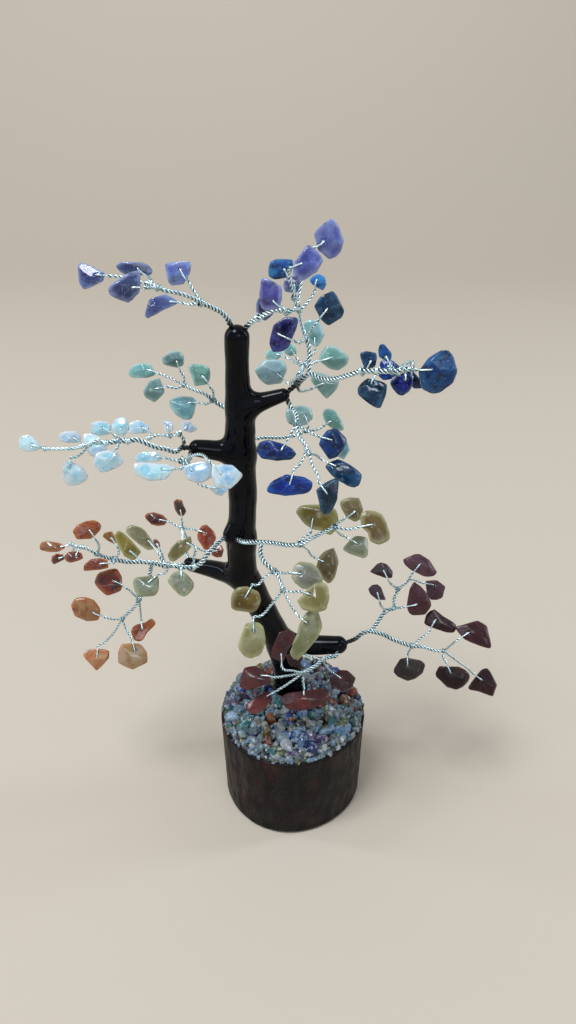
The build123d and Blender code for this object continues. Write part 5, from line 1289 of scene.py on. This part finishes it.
def rope_radius(carried):
    """Radius of a bundle of wires: one wire's, times the root of their number, a little loose."""
    radius = WIRE_RADIUS * PACKING * np.sqrt(2 * carried)
    return np.clip(radius, THINNEST_ROPE, THICKEST_ROPE)


def stem_rope(knots, radii):
    """A rope of wires wound round a stem: every second one stands out, the others lie deeper."""
    line = bent_line(knots, ROPE_STEP)
    along = np.concatenate([[0], np.cumsum(np.linalg.norm(np.diff(knots, axis=0), axis=1))])
    radius = np.interp(np.linspace(0, along[-1], len(line)), along, radii)
    count = 2 + sum(int(radii[0] > THINNEST_ROPE * times) for times in STRAND_STEPS)
    ahead = unit(line[-1] - line[-2])
    level = unit(np.cross(ahead, UPRIGHT))
    above = np.cross(level, ahead)
    strands = []
    for number in range(2 * count):
        phase = math.pi * number / count
        last_out = level * math.cos(phase) + above * math.sin(phase)
        away = radius - ROPE_WIRE - ROPE_SINK * (number % 2)
        helix, aside = strand(line, away, ROPE_BUMP * count, last_out)
        wire = carry_ring(helix, aside, ROPE_WIRE, ROPE_SIDES)
        strands.append((wire, groove_share(wire[0], line, radius - ROPE_WIRE, ROPE_WIRE)))
    return strands


def fork_wrap(spot, ahead, rope):
    """The end of a pair wound round the branch: a short helix with its turns side by side."""
    length = WRAP_TURNS * WRAP_PITCH
    line = spot + ahead * np.linspace(-length / 2, length / 2, WRAP_POINTS)[:, None]
    helix, aside = strand(line, rope + WRAP_GAP, WRAP_PITCH, UPRIGHT)
    wire = carry_ring(helix, aside, WIRE_RADIUS, STRAND_SIDES)
    return wire, groove_share(wire[0], line, rope + WRAP_GAP, WIRE_RADIUS)


print("a rope of six wires is", round(2 * float(rope_radius(3)), 2), "mm thick")

# %% The wires, one piece for each branch
# How far the resin has run along each branch's wire. It hides the wire up to half of that, and there
# is none past one and a half times that.
RESIN_RUNS = {"amethyst_left": 2.5, "amethyst_right": 1.6, "upper_right": 6.0, "lapis_lower": 1.6,
              "aventurine_low": 0.8, "aventurine_left": 0.8, "quartz_left": 3.0, "quartz_lower": 2.0,
              "yellow_right": 2.6, "yellow_left": 2.6, "carnelian_left": 0.8, "carnelian_back": 0.8,
              "jasper_right": 6.5, "jasper_front": 1.5}
RESIN_END = 1.5

for name, branch in BRANCHES.items():
    root, stems = stem_knots(branch)
    strands, forks = [], {}
    for pixels, knots, carried in zip(branch["stems"], stems, pairs_carried(branch)):
        radii = rope_radius(carried)
        inside = len(knots) - len(pixels)
        strands += stem_rope(knots, np.concatenate([radii[:1]] * inside + [radii]))
        ahead = unit(np.gradient(np.array(knots), axis=0))[inside:]
        for knot, *turn in zip(pixels, knots[inside:], ahead, radii):
            forks.setdefault(knot[:2], turn)
    for row in branch_rows(branch):
        strands.append(stone_wire(branch, row, row in branch["hanging"].values()))
        strands.append(fork_wrap(*forks[row["twig"][0]]))
    wires, groove_shades = zip(*strands)
    runs = [np.linalg.norm(points - root, axis=1) / RESIN_RUNS[name] for points, _ in wires]
    node = name + "_wire"
    make_piece("twisted_" + node, wires, node, wire_finish,
               resin_share=[np.clip(RESIN_END - run, 0, 1) for run in runs], groove_share=groove_shades)
print("wires wound for", len(BRANCHES), "branches")

# %% [markdown]
# ## The resin trunk
#
# Black resin was dripped over the wire bundle, and where a stub leaves the trunk it ran into a soft
# web. Separate tubes would meet in sharp creases. So the trunk is the place where a soft minimum of
# the distances to all its cones is zero. Rough tubes are merged by a voxel remesh, which only gives
# the points, and each point is then drawn on to that skin along the slope of the distance.

# %% Distance to the trunk
WEB_REACH = 4.5
DRIP_DEPTH = 0.3
DRIP_WAVE = 14.0
# Where each stub leaves the trunk's middle, its radius there and at its tip, and its share of the way
STUBS = {
    "upper_right_stub": ((243, 408, 0.02), 4.3, 2.4, 0.98),
    "left_stub": ((240, 453, 0.02), 4.4, 3.15, 0.9),
    "back_stub": ((241, 430, 0.03), 3.7, 3.2, 1),
    "front_lump": ((242, 539, 0.04), 4.6, 2.9, 1),
    "lower_left_stub": ((238, 575, 0.045), 4.6, 2.8, 1),
    "lower_right_stub": ((282, 645, 0.065), 4.9, 3.9, 0.97),
}


def trunk_line():
    """Places and radii along the trunk, down to the log's top."""
    points = [place(*station[:3]) for station in TRUNK_STATIONS]
    radii = [TRUNK_TOP_RADIUS + (TRUNK_FOOT_RADIUS - TRUNK_TOP_RADIUS) * station[3]
             for station in TRUNK_STATIONS]
    points.append(np.array([points[-1][0], points[-1][1], LOG_HEIGHT]))
    return np.array(points), np.array(radii + radii[-1:])


def stub_ends(name):
    """Where a stub's middle line starts and ends."""
    root, _, _, share = STUBS[name]
    start, tip = place(*root), place(*STUB_TIPS[name][0])
    return start, start + (tip - start) * share


def cone_distance(points, start, end, start_radius, end_radius):
    """Distance to a cone's middle line, less its radius at the nearest place of that line."""
    way = end - start
    share = np.clip((points - start) @ way / (way @ way), 0, 1)
    off = points - start - share[:, None] * way
    return np.linalg.norm(off, axis=1) - start_radius - (end_radius - start_radius) * share


def coat_distance(points):
    """Nearest of the trunk's cones, joined to each stub by a soft minimum, less slow drips.

    The soft minimum of two distances is the lesser one, less a quarter of the web's reach times the
    square of a share, which falls from 1 where they are equal to 0 where they differ by the reach.
    The skin lies inside the cones by half of the drips' depth, more or less by three slow waves.
    """
    line, radii = trunk_line()
    runs = zip(line, line[1:], radii, radii[1:])
    near = np.min([cone_distance(points, *run) for run in runs], axis=0)
    for name, (_, root_radius, tip_radius, _) in STUBS.items():
        stub = cone_distance(points, *stub_ends(name), root_radius, tip_radius)
        web = np.maximum(WEB_REACH - np.abs(near - stub), 0) / WEB_REACH
        near = np.minimum(near, stub) - web ** 2 * WEB_REACH / 4
    x, y, z = points.T / DRIP_WAVE * math.tau
    drips = (0.5 * np.sin(z + np.sin(x)) + 0.3 * np.sin(0.43 * z + 1.3 * x + 2)
             + 0.2 * np.sin(1.7 * y + 0.8 * z))
    return near + DRIP_DEPTH * (1 + drips) / 2


print("trunk from", np.round(trunk_line()[0][0], 1), "to", np.round(trunk_line()[0][-1], 1))

# %% The coat's skin
SKIN_VOXEL = 0.55
SKIN_ROUNDS = 5
SLOPE_STEP = 0.05
LEAST_SLOPE = 0.2
COAT_SIDES = 24
COAT_STEP = 1.0
STUB_RINGS = 9
ROUND_END_SHARE = 0.9

line, radii = trunk_line()
over = line[0] + unit(line[0] - line[1]) * radii[0] * ROUND_END_SHARE
rough = [carry_ring(bent_line([over, *line], COAT_STEP), SIDEWAYS, TRUNK_TOP_RADIUS, COAT_SIDES)]
for name, (_, _, tip_radius, _) in STUBS.items():
    start, end = stub_ends(name)
    end = end + unit(end - start) * tip_radius * ROUND_END_SHARE
    rough.append(carry_ring(np.linspace(start, end, STUB_RINGS), UPRIGHT, tip_radius, COAT_SIDES))

# black casting resin, dripped on and set hard: nearly all of its look is what it mirrors
resin_finish, tree, shader, where = new_finish("dripped_black_resin", IOR=1.5, Specular_IOR_Level=0.13)
colour = add_patches(tree, where, "#020307", [("#070a12", 12.0, 0.4, 0.65, 1.0)])
feed(tree, shader, {"Base Color": colour})
add_skin(tree, shader, where, 0.04, 0.12, 8.0, 16.0, 0.3)

coat = make_piece("resin_trunk_coat", rough, "trunk_coat", resin_finish)
remesh = coat.modifiers.new("one skin", "REMESH")
remesh.mode = "VOXEL"
remesh.voxel_size = SKIN_VOXEL * MM
skin = bpy.data.meshes.new_from_object(coat.evaluated_get(bpy.context.evaluated_depsgraph_get()))
coat.modifiers.clear()
coat.data = skin
points = np.zeros(len(skin.vertices) * 3, np.float32)
skin.vertices.foreach_get("co", points)
points = points.reshape(-1, 3).astype(float) / MM
for _ in range(SKIN_ROUNDS):
    distance = coat_distance(points)
    rises = [coat_distance(points + step) - distance for step in np.eye(3) * SLOPE_STEP]
    slope = np.stack(rises, -1) / SLOPE_STEP
    points -= slope * (distance / np.maximum(np.sum(slope ** 2, -1), LEAST_SLOPE))[:, None]
points[:, 2] = np.maximum(points[:, 2], LOG_HEIGHT)
skin.vertices.foreach_set("co", (points * MM).astype(np.float32).ravel())
skin.shade_smooth()
skin.materials.clear()
skin.materials.append(resin_finish)
farthest = float(np.abs(coat_distance(points)).max())
print("coat", len(skin.vertices), "points, farthest from its skin", round(farthest, 3), "mm")

# %% The wire bundle inside
DRAWN_SCALE = (1, 1, 0.05)

# drawn steel wire, bare where the resin doesn't cover it: grey, with draw marks along it
bundle_finish, tree, shader, where = new_finish("bundled_steel_wire", Metallic=1.0)
along = put(tree, "Mapping", {"Vector": where, "Scale": DRAWN_SCALE})
colour = add_patches(tree, along, "#8f9194", [("#5c5f63", 0.6, 0.4, 0.6, 1.0)])
feed(tree, shader, {"Base Color": colour})
add_skin(tree, shader, along, 0.3, 0.5, 0.6, 0.4, 0.03)
armature = frame["nodes"]["wire_armature"]
armature.data.materials.clear()
armature.data.materials.append(bundle_finish)
print("the bundle keeps its solid shape, in", bundle_finish.name)

# %% [markdown]
# ## The log
#
# The base is a slice of a branch, sawn flat below and above, with dark bark all round. Bark cracks
# along the branch, so its ridges are narrow round the log and long up it. The profile runs from the
# middle of the underside round the rounded foot, up the bark, over the rim and down the drilled
# hole, and is carried round the log. The ridges only cut into the wood, so the log keeps its size.

# %% The log's outline and bark
FOOT_ROUND = 1.8
RIM_ROUND = 1.0
FOOT_ROWS = 7
RISE_ROWS = 44
RIM_ROWS = 5
RIDGE_DEPTH = 0.5
CRACK_POWER = 1.3
# Ridges round the log, how far they wander, how fast as they rise, and where they start
RIDGES = ((13, 0.9, 0.05, 0.0), (22, 1.4, 0.08, 2.1), (37, 1.1, 0.12, 4.0))
TWIST = 3


def log_radius(turn):
    """Waves through the twelve shares of the log's radius, as a sum of cosines."""
    waves = np.fft.rfft(LOG_LUMP_SHARES) / len(LOG_LUMP_SHARES)
    order = np.arange(len(waves))
    weight = np.where((order == 0) | (order == len(LOG_LUMP_SHARES) / 2), 1, 2)
    return LOG_RADIUS * np.sum(weight * (waves * np.exp(1j * order * turn[..., None])).real, -1)


def bark_depth(turn, height):
    """How deep the bark is cracked: sharp-bottomed waves round the log that wander as they rise."""
    depth = 0
    for count, wander, rise, phase in RIDGES:
        sway = wander * np.sin(rise * height + phase + TWIST * np.sin(turn))
        depth = depth + np.abs(np.sin(count / 2 * turn + sway))
    return RIDGE_DEPTH * (1 - depth / len(RIDGES)) ** CRACK_POWER


def rounded_profile():
    """Share of the radius inward from the bark, as a length, and height, from the foot to the rim."""
    foot = np.linspace(0, math.pi / 2, FOOT_ROWS)
    rim = np.linspace(0, math.pi / 2, RIM_ROWS)
    rise = np.linspace(FOOT_ROUND, LOG_HEIGHT - RIM_ROUND, RISE_ROWS + 2)[1:-1]
    inward = [FOOT_ROUND * (1 - np.sin(foot)), 0 * rise, RIM_ROUND * (1 - np.cos(rim))]
    height = [FOOT_ROUND * (1 - np.cos(foot)), rise, LOG_HEIGHT - RIM_ROUND * (1 - np.sin(rim))]
    return np.concatenate(inward)[:, None], np.concatenate(height)[:, None]


print("the log's radius at the front is", round(float(log_radius(np.array(-math.pi / 2))), 2), "mm")

# %% The log's surface
LOG_TURNS = 288
# Over what height the bark's cracks fade towards the rim and the foot, and what is left of them
RIM_FADE = 1.5
FOOT_FADE = 5.0
LEAST_CRACK = 0.25
# Rings, as shares of the way: from the rim to the hole, down the hole, and out from the log's middle
SAWN_RINGS = (0.04, 0.3, 0.65, 1)
HOLE_RINGS = (0.5, 1)
HOLE_END_RING = 0.3
UNDER_RINGS = (0.1, 0.6, 0.97)
# So many rows of the rounded foot still show sawn wood
SAWN_FOOT_ROWS = 3

turn = np.arange(LOG_TURNS)[None, :] * math.tau / LOG_TURNS
inward, height = rounded_profile()
taper = LOG_FOOT_SHARE + (1 - LOG_FOOT_SHARE) * height / LOG_HEIGHT
fade = np.clip(np.minimum((LOG_HEIGHT - height) / RIM_FADE, height / FOOT_FADE), LEAST_CRACK, 1)
radius = log_radius(turn) * taper - inward - bark_depth(turn, height) * fade
bark = round_upright(radius, turn, height)
hole = trunk_line()[0][-1] * (1, 1, 0)
hole_round = hole + round_upright(CORE_RADIUS, turn[0])
to_hole = hole_round + UPRIGHT * LOG_HEIGHT - bark[-1]
sawn_top = [bark[-1] + to_hole * share for share in SAWN_RINGS]
hole_wall = [hole_round + UPRIGHT * (LOG_HEIGHT - CORE_FOOT_DEPTH * share) for share in HOLE_RINGS]
hole_end = hole_wall[-1].mean(0)
inner_floor = [hole_end + (hole_wall[-1] - hole_end) * HOLE_END_RING]
underside = [bark[0] * share * (1, 1, 0) for share in UNDER_RINGS]
log_rows = np.concatenate([underside, bark, sawn_top, hole_wall, inner_floor]).reshape(-1, 3)
row_count = len(log_rows) // LOG_TURNS
caps = [list(range(LOG_TURNS)), list(range(len(log_rows) - LOG_TURNS, len(log_rows)))[::-1]]
log_faces = facing_out(log_rows, grid_faces(row_count, LOG_TURNS, False, True) + caps)
sawn = np.ones((row_count, LOG_TURNS))
sawn[len(underside) + SAWN_FOOT_ROWS:len(underside) + len(bark) + 1] = 0
print("log rows", row_count, "and radius from", np.round(radius.min(), 1), "to", np.round(radius.max(), 1))

# %% Bark and sawn wood
BARK_SCALE = (1, 1, 0.4)

# oiled bark: nearly black brown, with reddish streaks along it and paler worn specks
log_finish, tree, shader, where = new_finish("oiled_dark_bark", IOR=1.45, Specular_IOR_Level=0.2)
along = put(tree, "Mapping", {"Vector": where, "Scale": BARK_SCALE})
colour = add_patches(tree, along, "#0a0707", [
    ("#181010", 5.0, 0.42, 0.68, 0.9), ("#35120f", 6.0, 0.52, 0.72, 0.8), ("#3a332c", 1.0, 0.62, 0.76, 0.6)])
sawn_share = put(tree, "Attribute", attribute_name="sawn_share").outputs["Fac"]
colour = put(tree, "Mix", {"Factor": sawn_share, "A": colour, "B": "#4a4038"}, **COLOUR_MIX)
feed(tree, shader, {"Base Color": colour})
add_skin(tree, shader, along, 0.4, 0.6, 4.0, 1.2, 0.4)
make_piece("bark_log_base", [(log_rows, log_faces)], "log_base", log_finish, sawn_share=[sawn.ravel()])
print("the log's finish is", log_finish.name)

# %% [markdown]
# ## Glue and gem gravel
#
# Clear glue was poured on the log and small chips were pressed into it. The glue is a low disc with a
# rounded lip that dips between the chips. A chip is repeated hundreds of times, so it has only a few
# dozen faces: the skin of a cube of points, pushed out to a soft maximum over nine random planes.

# %% The glue bed
GLUE_TURNS = 144
GLUE_RINGS = 25
GLUE_DIP = 0.5
# Radians for each millimetre: of the first wave across, of the second one back and across
GLUE_WAVES = (1.1, 1.3, 0.4)
LIP_ROUND = 0.9
LIP_ROWS = 5
FOOT_CLEARANCE = 0.05

glue_turn = np.arange(GLUE_TURNS) * math.tau / GLUE_TURNS
lip = np.linspace(0, math.pi / 2, LIP_ROWS)[:, None]
lip_inward = np.concatenate([[[0.0]], LIP_ROUND * (1 - np.cos(lip))])
lip_height = np.concatenate([[[0.0]], BED_HEIGHT - LIP_ROUND * (1 - np.sin(lip))])
outer = round_upright(log_radius(glue_turn) - BED_INSET - lip_inward, glue_turn, lip_height)
inner = hole + round_upright(TRUNK_FOOT_RADIUS + FOOT_CLEARANCE, glue_turn)
rows = [*outer]
across, back, aslant = GLUE_WAVES
for share in np.linspace(0, 1, GLUE_RINGS + 1)[1:]:
    x, y, _ = (outer[-1] * (1 - share) + inner * share).T
    dip = GLUE_DIP * (1 + np.sin(across * x) * np.sin(back * y + aslant * x)) / 2
    rows.append(np.stack([x, y, BED_HEIGHT - dip], -1))
glue_rows = np.stack([*rows, inner])
glue_points = glue_rows.reshape(-1, 3) + UPRIGHT * LOG_HEIGHT
# clear casting glue, poured: glassy, clouded grey-white by dust and by what lies under it
glue_finish, tree, shader, where = new_finish("clear_cast_glue", IOR=1.49, Transmission_Weight=0.35)
colour = add_patches(tree, where, "#464b4a", [
    ("#727978", 2.0, 0.4, 0.64, 1.0), ("#55605e", 1.2, 0.56, 0.7, 0.8)])
feed(tree, shader, {"Base Color": colour})
add_skin(tree, shader, where, 0.06, 0.25, 2.0, 1.6, 0.5)
glue_faces = facing_out(glue_points, grid_faces(len(glue_rows), GLUE_TURNS, True, True))
make_piece("clear_glue_bed", [(glue_points, glue_faces)], "glue_bed", glue_finish)
print("glue points", len(glue_points))

# %% A chip
CHIP_STEPS = 3
CHIP_PLANES = 9
CHIP_REACHES = (0.55, 1.0)
CHIP_LEAST = 0.05
CHIP_LONGEST = 1.12
CHIP_POWER = 12
# The least and the most of a chip's length, width and thickness
CHIP_SIDES = ((0.9, 0.75, 0.55), (1.1, 0.95, 0.8))


def cube_skin(steps):
    """Directions through the points of a cube's skin, and its faces, merged along the edges."""
    line = np.tan(np.linspace(-1, 1, steps + 1) * math.pi / 4)
    across, up = (part.ravel() for part in np.meshgrid(line, line))
    sheets = []
    for side in (1, -1):
        flat, far = side * np.ones_like(across), side * up
        sheets += [(flat, across, far), (far, flat, across), (across, far, flat)]
    points = np.concatenate([np.stack(sheet, -1) for sheet in sheets])
    points, places = np.unique(np.round(points, 6), axis=0, return_inverse=True)
    grid = np.array(grid_faces(steps + 1, steps + 1, False, False))
    faces = [places.ravel()[grid + len(across) * sheet] for sheet in range(len(sheets))]
    outward = []
    for face in np.concatenate(faces).tolist():
        first, second, third = points[face[:3]]
        turns_out = np.dot(np.cross(second - first, third - first), first) > 0
        outward.append(face if turns_out else face[::-1])
    return unit(points), outward


CHIP_WAYS, CHIP_FACES = cube_skin(CHIP_STEPS)


def chip(centre, size, random):
    """A chip of rock: the cube's directions, each as long as a soft maximum over random planes lets."""
    planes = unit(random.normal(size=(CHIP_PLANES, 3))) / random.uniform(*CHIP_REACHES, (CHIP_PLANES, 1))
    reach = np.sum(np.maximum(CHIP_WAYS @ planes.T, CHIP_LEAST) ** CHIP_POWER, -1) ** (-1 / CHIP_POWER)
    shape = CHIP_WAYS * np.minimum(reach, CHIP_LONGEST)[:, None] * random.uniform(*CHIP_SIDES)
    spin = np.linalg.qr(random.normal(size=(3, 3)))[0]
    points = centre + shape @ spin.T * size / 2
    return points, facing_out(points, CHIP_FACES)


print("faces of a chip", len(CHIP_FACES))

# %% The gravel heap
GRAVEL_SEED = 41
MAIN_SIZES = (1.1, 1.5)
MAIN_STRIDE = 3
# Shares of a chip's size: how deep it sinks, how high it stays at least, how far it clears the trunk
MAIN_SUNK = 0.45
MAIN_LEAST = 0.3
LOOSE_LEAST = 0.2
LOOSE_CLEAR = 0.4
# Share of the radius, past the rim, over which the bed falls away
RIM_FALL = 0.06
# How many loose chips, between which sizes, how far out from and to, and how deep in the heap
LOOSE_CHIPS = ((230, (3.6, 5.4), (0.1, 1.0), (0.45, 0.7)), (240, (2.3, 3.4), (0.1, 1.0), (0.6, 1.0)),
               (170, (2.6, 4.2), (0.93, 1.02), (0.3, 0.8)), (170, (2.0, 3.4), (1.0, 1.06), (0.9, 1.2)))
# For each kind of chip: how often a loose one is of it, how clear it is, and its colours
GRAVEL = {
    "white": (0.25, 0.0, "#8c9396 #728088 #929389 #6c7976"),
    "clear_quartz": (0.32, 0.35, "#667982 #7c8c93 #556973 #6f725f"),
    "pale_blue": (0.18, 0.0, "#547596 #496d8c #6b859b #526b7e"),
    "deep_blue": (0.05, 0.0, "#0e2b7d #1c4186 #05184c #27466b"),
    "orange": (0.03, 0.15, "#7f330d #874e21 #5c220e #76642d"),
    "green": (0.13, 0.1, "#25625f #3f726f #1b433e #555f31"),
    "purple": (0.04, 0.15, "#3c2e58 #594d6c #2e2037 #4e3c47"),
}


def heap_height(away_share):
    """Height of the heap over the glue: a parabola from the middle, 0, to the rim, 1."""
    return GRAVEL_RIM_HEIGHT + (GRAVEL_HEAP_HEIGHT - GRAVEL_RIM_HEIGHT) * (1 - away_share ** 2)


gravel_random = np.random.default_rng(GRAVEL_SEED)
field = LOG_RADIUS - BED_INSET - GRAVEL_PITCH / 2
count = round(math.pi * (field / GRAVEL_PITCH) ** 2)
number = np.arange(count)
away_share = np.sqrt((number + 0.5) / count)
spots = round_upright(field * away_share, GOLDEN_TURN * number)
clear = np.linalg.norm(spots - hole, axis=1) > TRUNK_FOOT_RADIUS + GRAVEL_PITCH / 2
colours = list(GRAVEL)
odds = [row[0] for row in GRAVEL.values()]
chips = {colour: [] for colour in colours}
for index in number[clear]:
    size = GRAVEL_PITCH * gravel_random.uniform(*MAIN_SIZES)
    level = max(heap_height(away_share[index]) - size * MAIN_SUNK, size * MAIN_LEAST)
    centre = spots[index] + UPRIGHT * (LOG_HEIGHT + BED_HEIGHT + level)
    colour = colours[index * MAIN_STRIDE % len(colours)]
    chips[colour].append(chip(centre, size, gravel_random))
for amount, sizes, aways, deeps in LOOSE_CHIPS:
    for _ in range(amount):
        away = math.sqrt(gravel_random.uniform(aways[0] ** 2, aways[1] ** 2))
        angle = gravel_random.uniform(0, math.tau)
        size = gravel_random.uniform(*sizes)
        edge_radius = log_radius(np.array(angle)) - BED_INSET - size / 2
        spot = round_upright(edge_radius * away, angle)
        level = heap_height(min(away, 1)) - size * gravel_random.uniform(*deeps)
        colour = colours[int(gravel_random.choice(len(colours), p=odds))]
        if np.linalg.norm(spot - hole) > TRUNK_FOOT_RADIUS + size * LOOSE_CLEAR:
            bed = BED_HEIGHT * min(1, (1 + RIM_FALL - away) / RIM_FALL)
            centre = spot + UPRIGHT * (LOG_HEIGHT + bed + max(level, size * LOOSE_LEAST))
            chips[colour].append(chip(centre, size, gravel_random))
print("chips", {colour: len(group) for colour, group in chips.items()})

# %% The gravel, one piece for each colour
for colour, (_, clearness, palette) in GRAVEL.items():
    # tumbled chips under a film of glue: glossy, each in its own colour, with paler and darker clouds
    finish, tree, shader, where = new_finish("gravel_chips_" + colour, IOR=1.54,
                                             Transmission_Weight=clearness)
    body = put(tree, "Attribute", attribute_name="body_colour").outputs["Color"]
    clouds = [("#c4d0d2", 1.6, 0.5, 0.7, 0.5), ("#20282c", 1.1, 0.6, 0.74, 0.5)]
    feed(tree, shader, {"Base Color": add_patches(tree, where, body, clouds)})
    add_skin(tree, shader, where, 0.08, 0.24, 2.0, 0.8, 0.1)
    tints = [linear(tint) for tint in palette.split()]
    node = "gravel_" + colour
    make_piece("gem_" + node, chips[colour], node, finish, smooth=False,
               body_colour=[tints[index % len(tints)] for index in range(len(chips[colour]))])
print("gravel pieces", len(GRAVEL))

# %% [markdown]
# ## Stage, light and camera
#
# The picture was taken against plain warm beige, from above the tree's top, looking down by about 31
# degrees. The floor curves up into a backdrop, so there is no edge behind the tree. Large soft lamps
# light it about as bright as its colours are written. Two tall narrow lamps at the sides draw the thin
# bright lines down the black trunk.

# %% Floor and backdrop
BACKDROP_NEAR = -2.4
BACKDROP_FAR = 1.6
BACKDROP_RISE = 2.2
BEND_RADIUS = 0.7
STAGE_HALF_WIDTH = 3.2
BEND_ROWS = 15

bend = np.linspace(0, math.pi / 2, BEND_ROWS)
bend_depth = BACKDROP_FAR - BEND_RADIUS * (1 - np.sin(bend))
depth = np.concatenate([[BACKDROP_NEAR], bend_depth, [BACKDROP_FAR]])
rise = np.concatenate([[0], BEND_RADIUS * (1 - np.cos(bend)), [BACKDROP_RISE]])
stage_mesh = bpy.data.meshes.new("stage_sheet")
stage_points = [[x, y, z] for y, z in zip(depth, rise) for x in (-STAGE_HALF_WIDTH, STAGE_HALF_WIDTH)]
stage_mesh.from_pydata(stage_points, [], grid_faces(len(depth), 2, False, False))
stage_mesh.shade_smooth()
stage = add_object("stage_sheet", stage_mesh)
# matt backdrop paper, painted paler as it rises: painted light, as the lamps aimed at the tree light it less
stage_finish, tree, shader, where = new_finish("backdrop_paper", Roughness=0.9)
rise_share = put(tree, "SeparateXYZ", {"Vector": where}).outputs["Z"]
share = put(tree, "MapRange", {"Value": rise_share, "To Max": 1.0})
colour = put(tree, "Mix", {"Factor": share, "A": "#c2b7a5", "B": "#e9ddc8"}, **COLOUR_MIX)
feed(tree, shader, {"Base Color": colour})
stage_mesh.materials.append(stage_finish)
print("stage from", BACKDROP_NEAR, "to", BACKDROP_FAR, "m")

# %% Lamps and world
LAMPS = {
    # where it is, where it aims, how wide and tall, how strong, its colour
    "window_above": ((-0.6, -0.5, 2.2), (0, 0, 0.12), (0.8, 0.8), 41.0, "#f1f6ff"),
    "fill_front": ((0.8, -1.8, 1.3), (0, 0, 0.12), (0.9, 0.7), 6.0, "#eef4ff"),
    "strip_left": ((-1.1, 0.2, 0.75), (0, 0, 0.13), (0.10, 1.2), 3.6, "#dfe9ff"),
    "strip_right": ((1.05, 0.25, 0.75), (0, 0, 0.13), (0.2, 1.2), 5.2, "#dfe9ff"),
}
ROOM_LIGHT = 0.4
ROOM_SEEN = 0.75
for name, (stand, aim, (wide, tall), watts, tint) in LAMPS.items():
    light = bpy.data.lights.new(name, "AREA")
    light.shape, light.size, light.size_y = "RECTANGLE", wide, tall
    light.energy, light.color = watts, linear(tint)[:3]
    lamp = add_object(name, light)
    lamp.location = stand
    lamp.rotation_euler = Vector(np.subtract(aim, stand)).to_track_quat("-Z", "Y").to_euler()

# a pale room: it lights the tree softly, and metal and glass see it nearly white
world = bpy.data.worlds.new("room")
world.use_nodes = True
tree = world.node_tree
rays = put(tree, "LightPath").outputs
seen = put(tree, "Math", {"Value": rays["Is Camera Ray"]}, operation="MAXIMUM")
tree.links.new(rays["Is Glossy Ray"], seen.inputs[1])
seen = put(tree, "Math", {"Value": seen}, operation="MAXIMUM")
tree.links.new(rays["Is Transmission Ray"], seen.inputs[1])
feed(tree, tree.nodes["Background"], {
    "Color": "#e6ecf2",
    "Strength": put(tree, "MapRange", {"Value": seen, "To Min": ROOM_LIGHT, "To Max": ROOM_SEEN})})
bpy.context.scene.world = world
bpy.context.scene.view_settings.view_transform = "Standard"
print("lamps", list(LAMPS))

# %% Camera
SENSOR_MM = 36.0
NEAREST_SEEN = 0.01
FARTHEST_SEEN = 20.0
eye_data = bpy.data.cameras.new("picture_eye")
eye_data.sensor_width = SENSOR_MM
eye_data.lens = FOCAL_PX / max(FRAME_WIDE_PX, FRAME_TALL_PX) * SENSOR_MM
eye_data.clip_start, eye_data.clip_end = NEAREST_SEEN, FARTHEST_SEEN
camera = add_object("picture_eye", eye_data)
camera.location = (EYE * MM).tolist()
camera.rotation_euler = (math.pi / 2 - LOOK_DOWN, 0, 0)
bpy.context.scene.camera = camera
print("lens", round(eye_data.lens, 2), "mm")
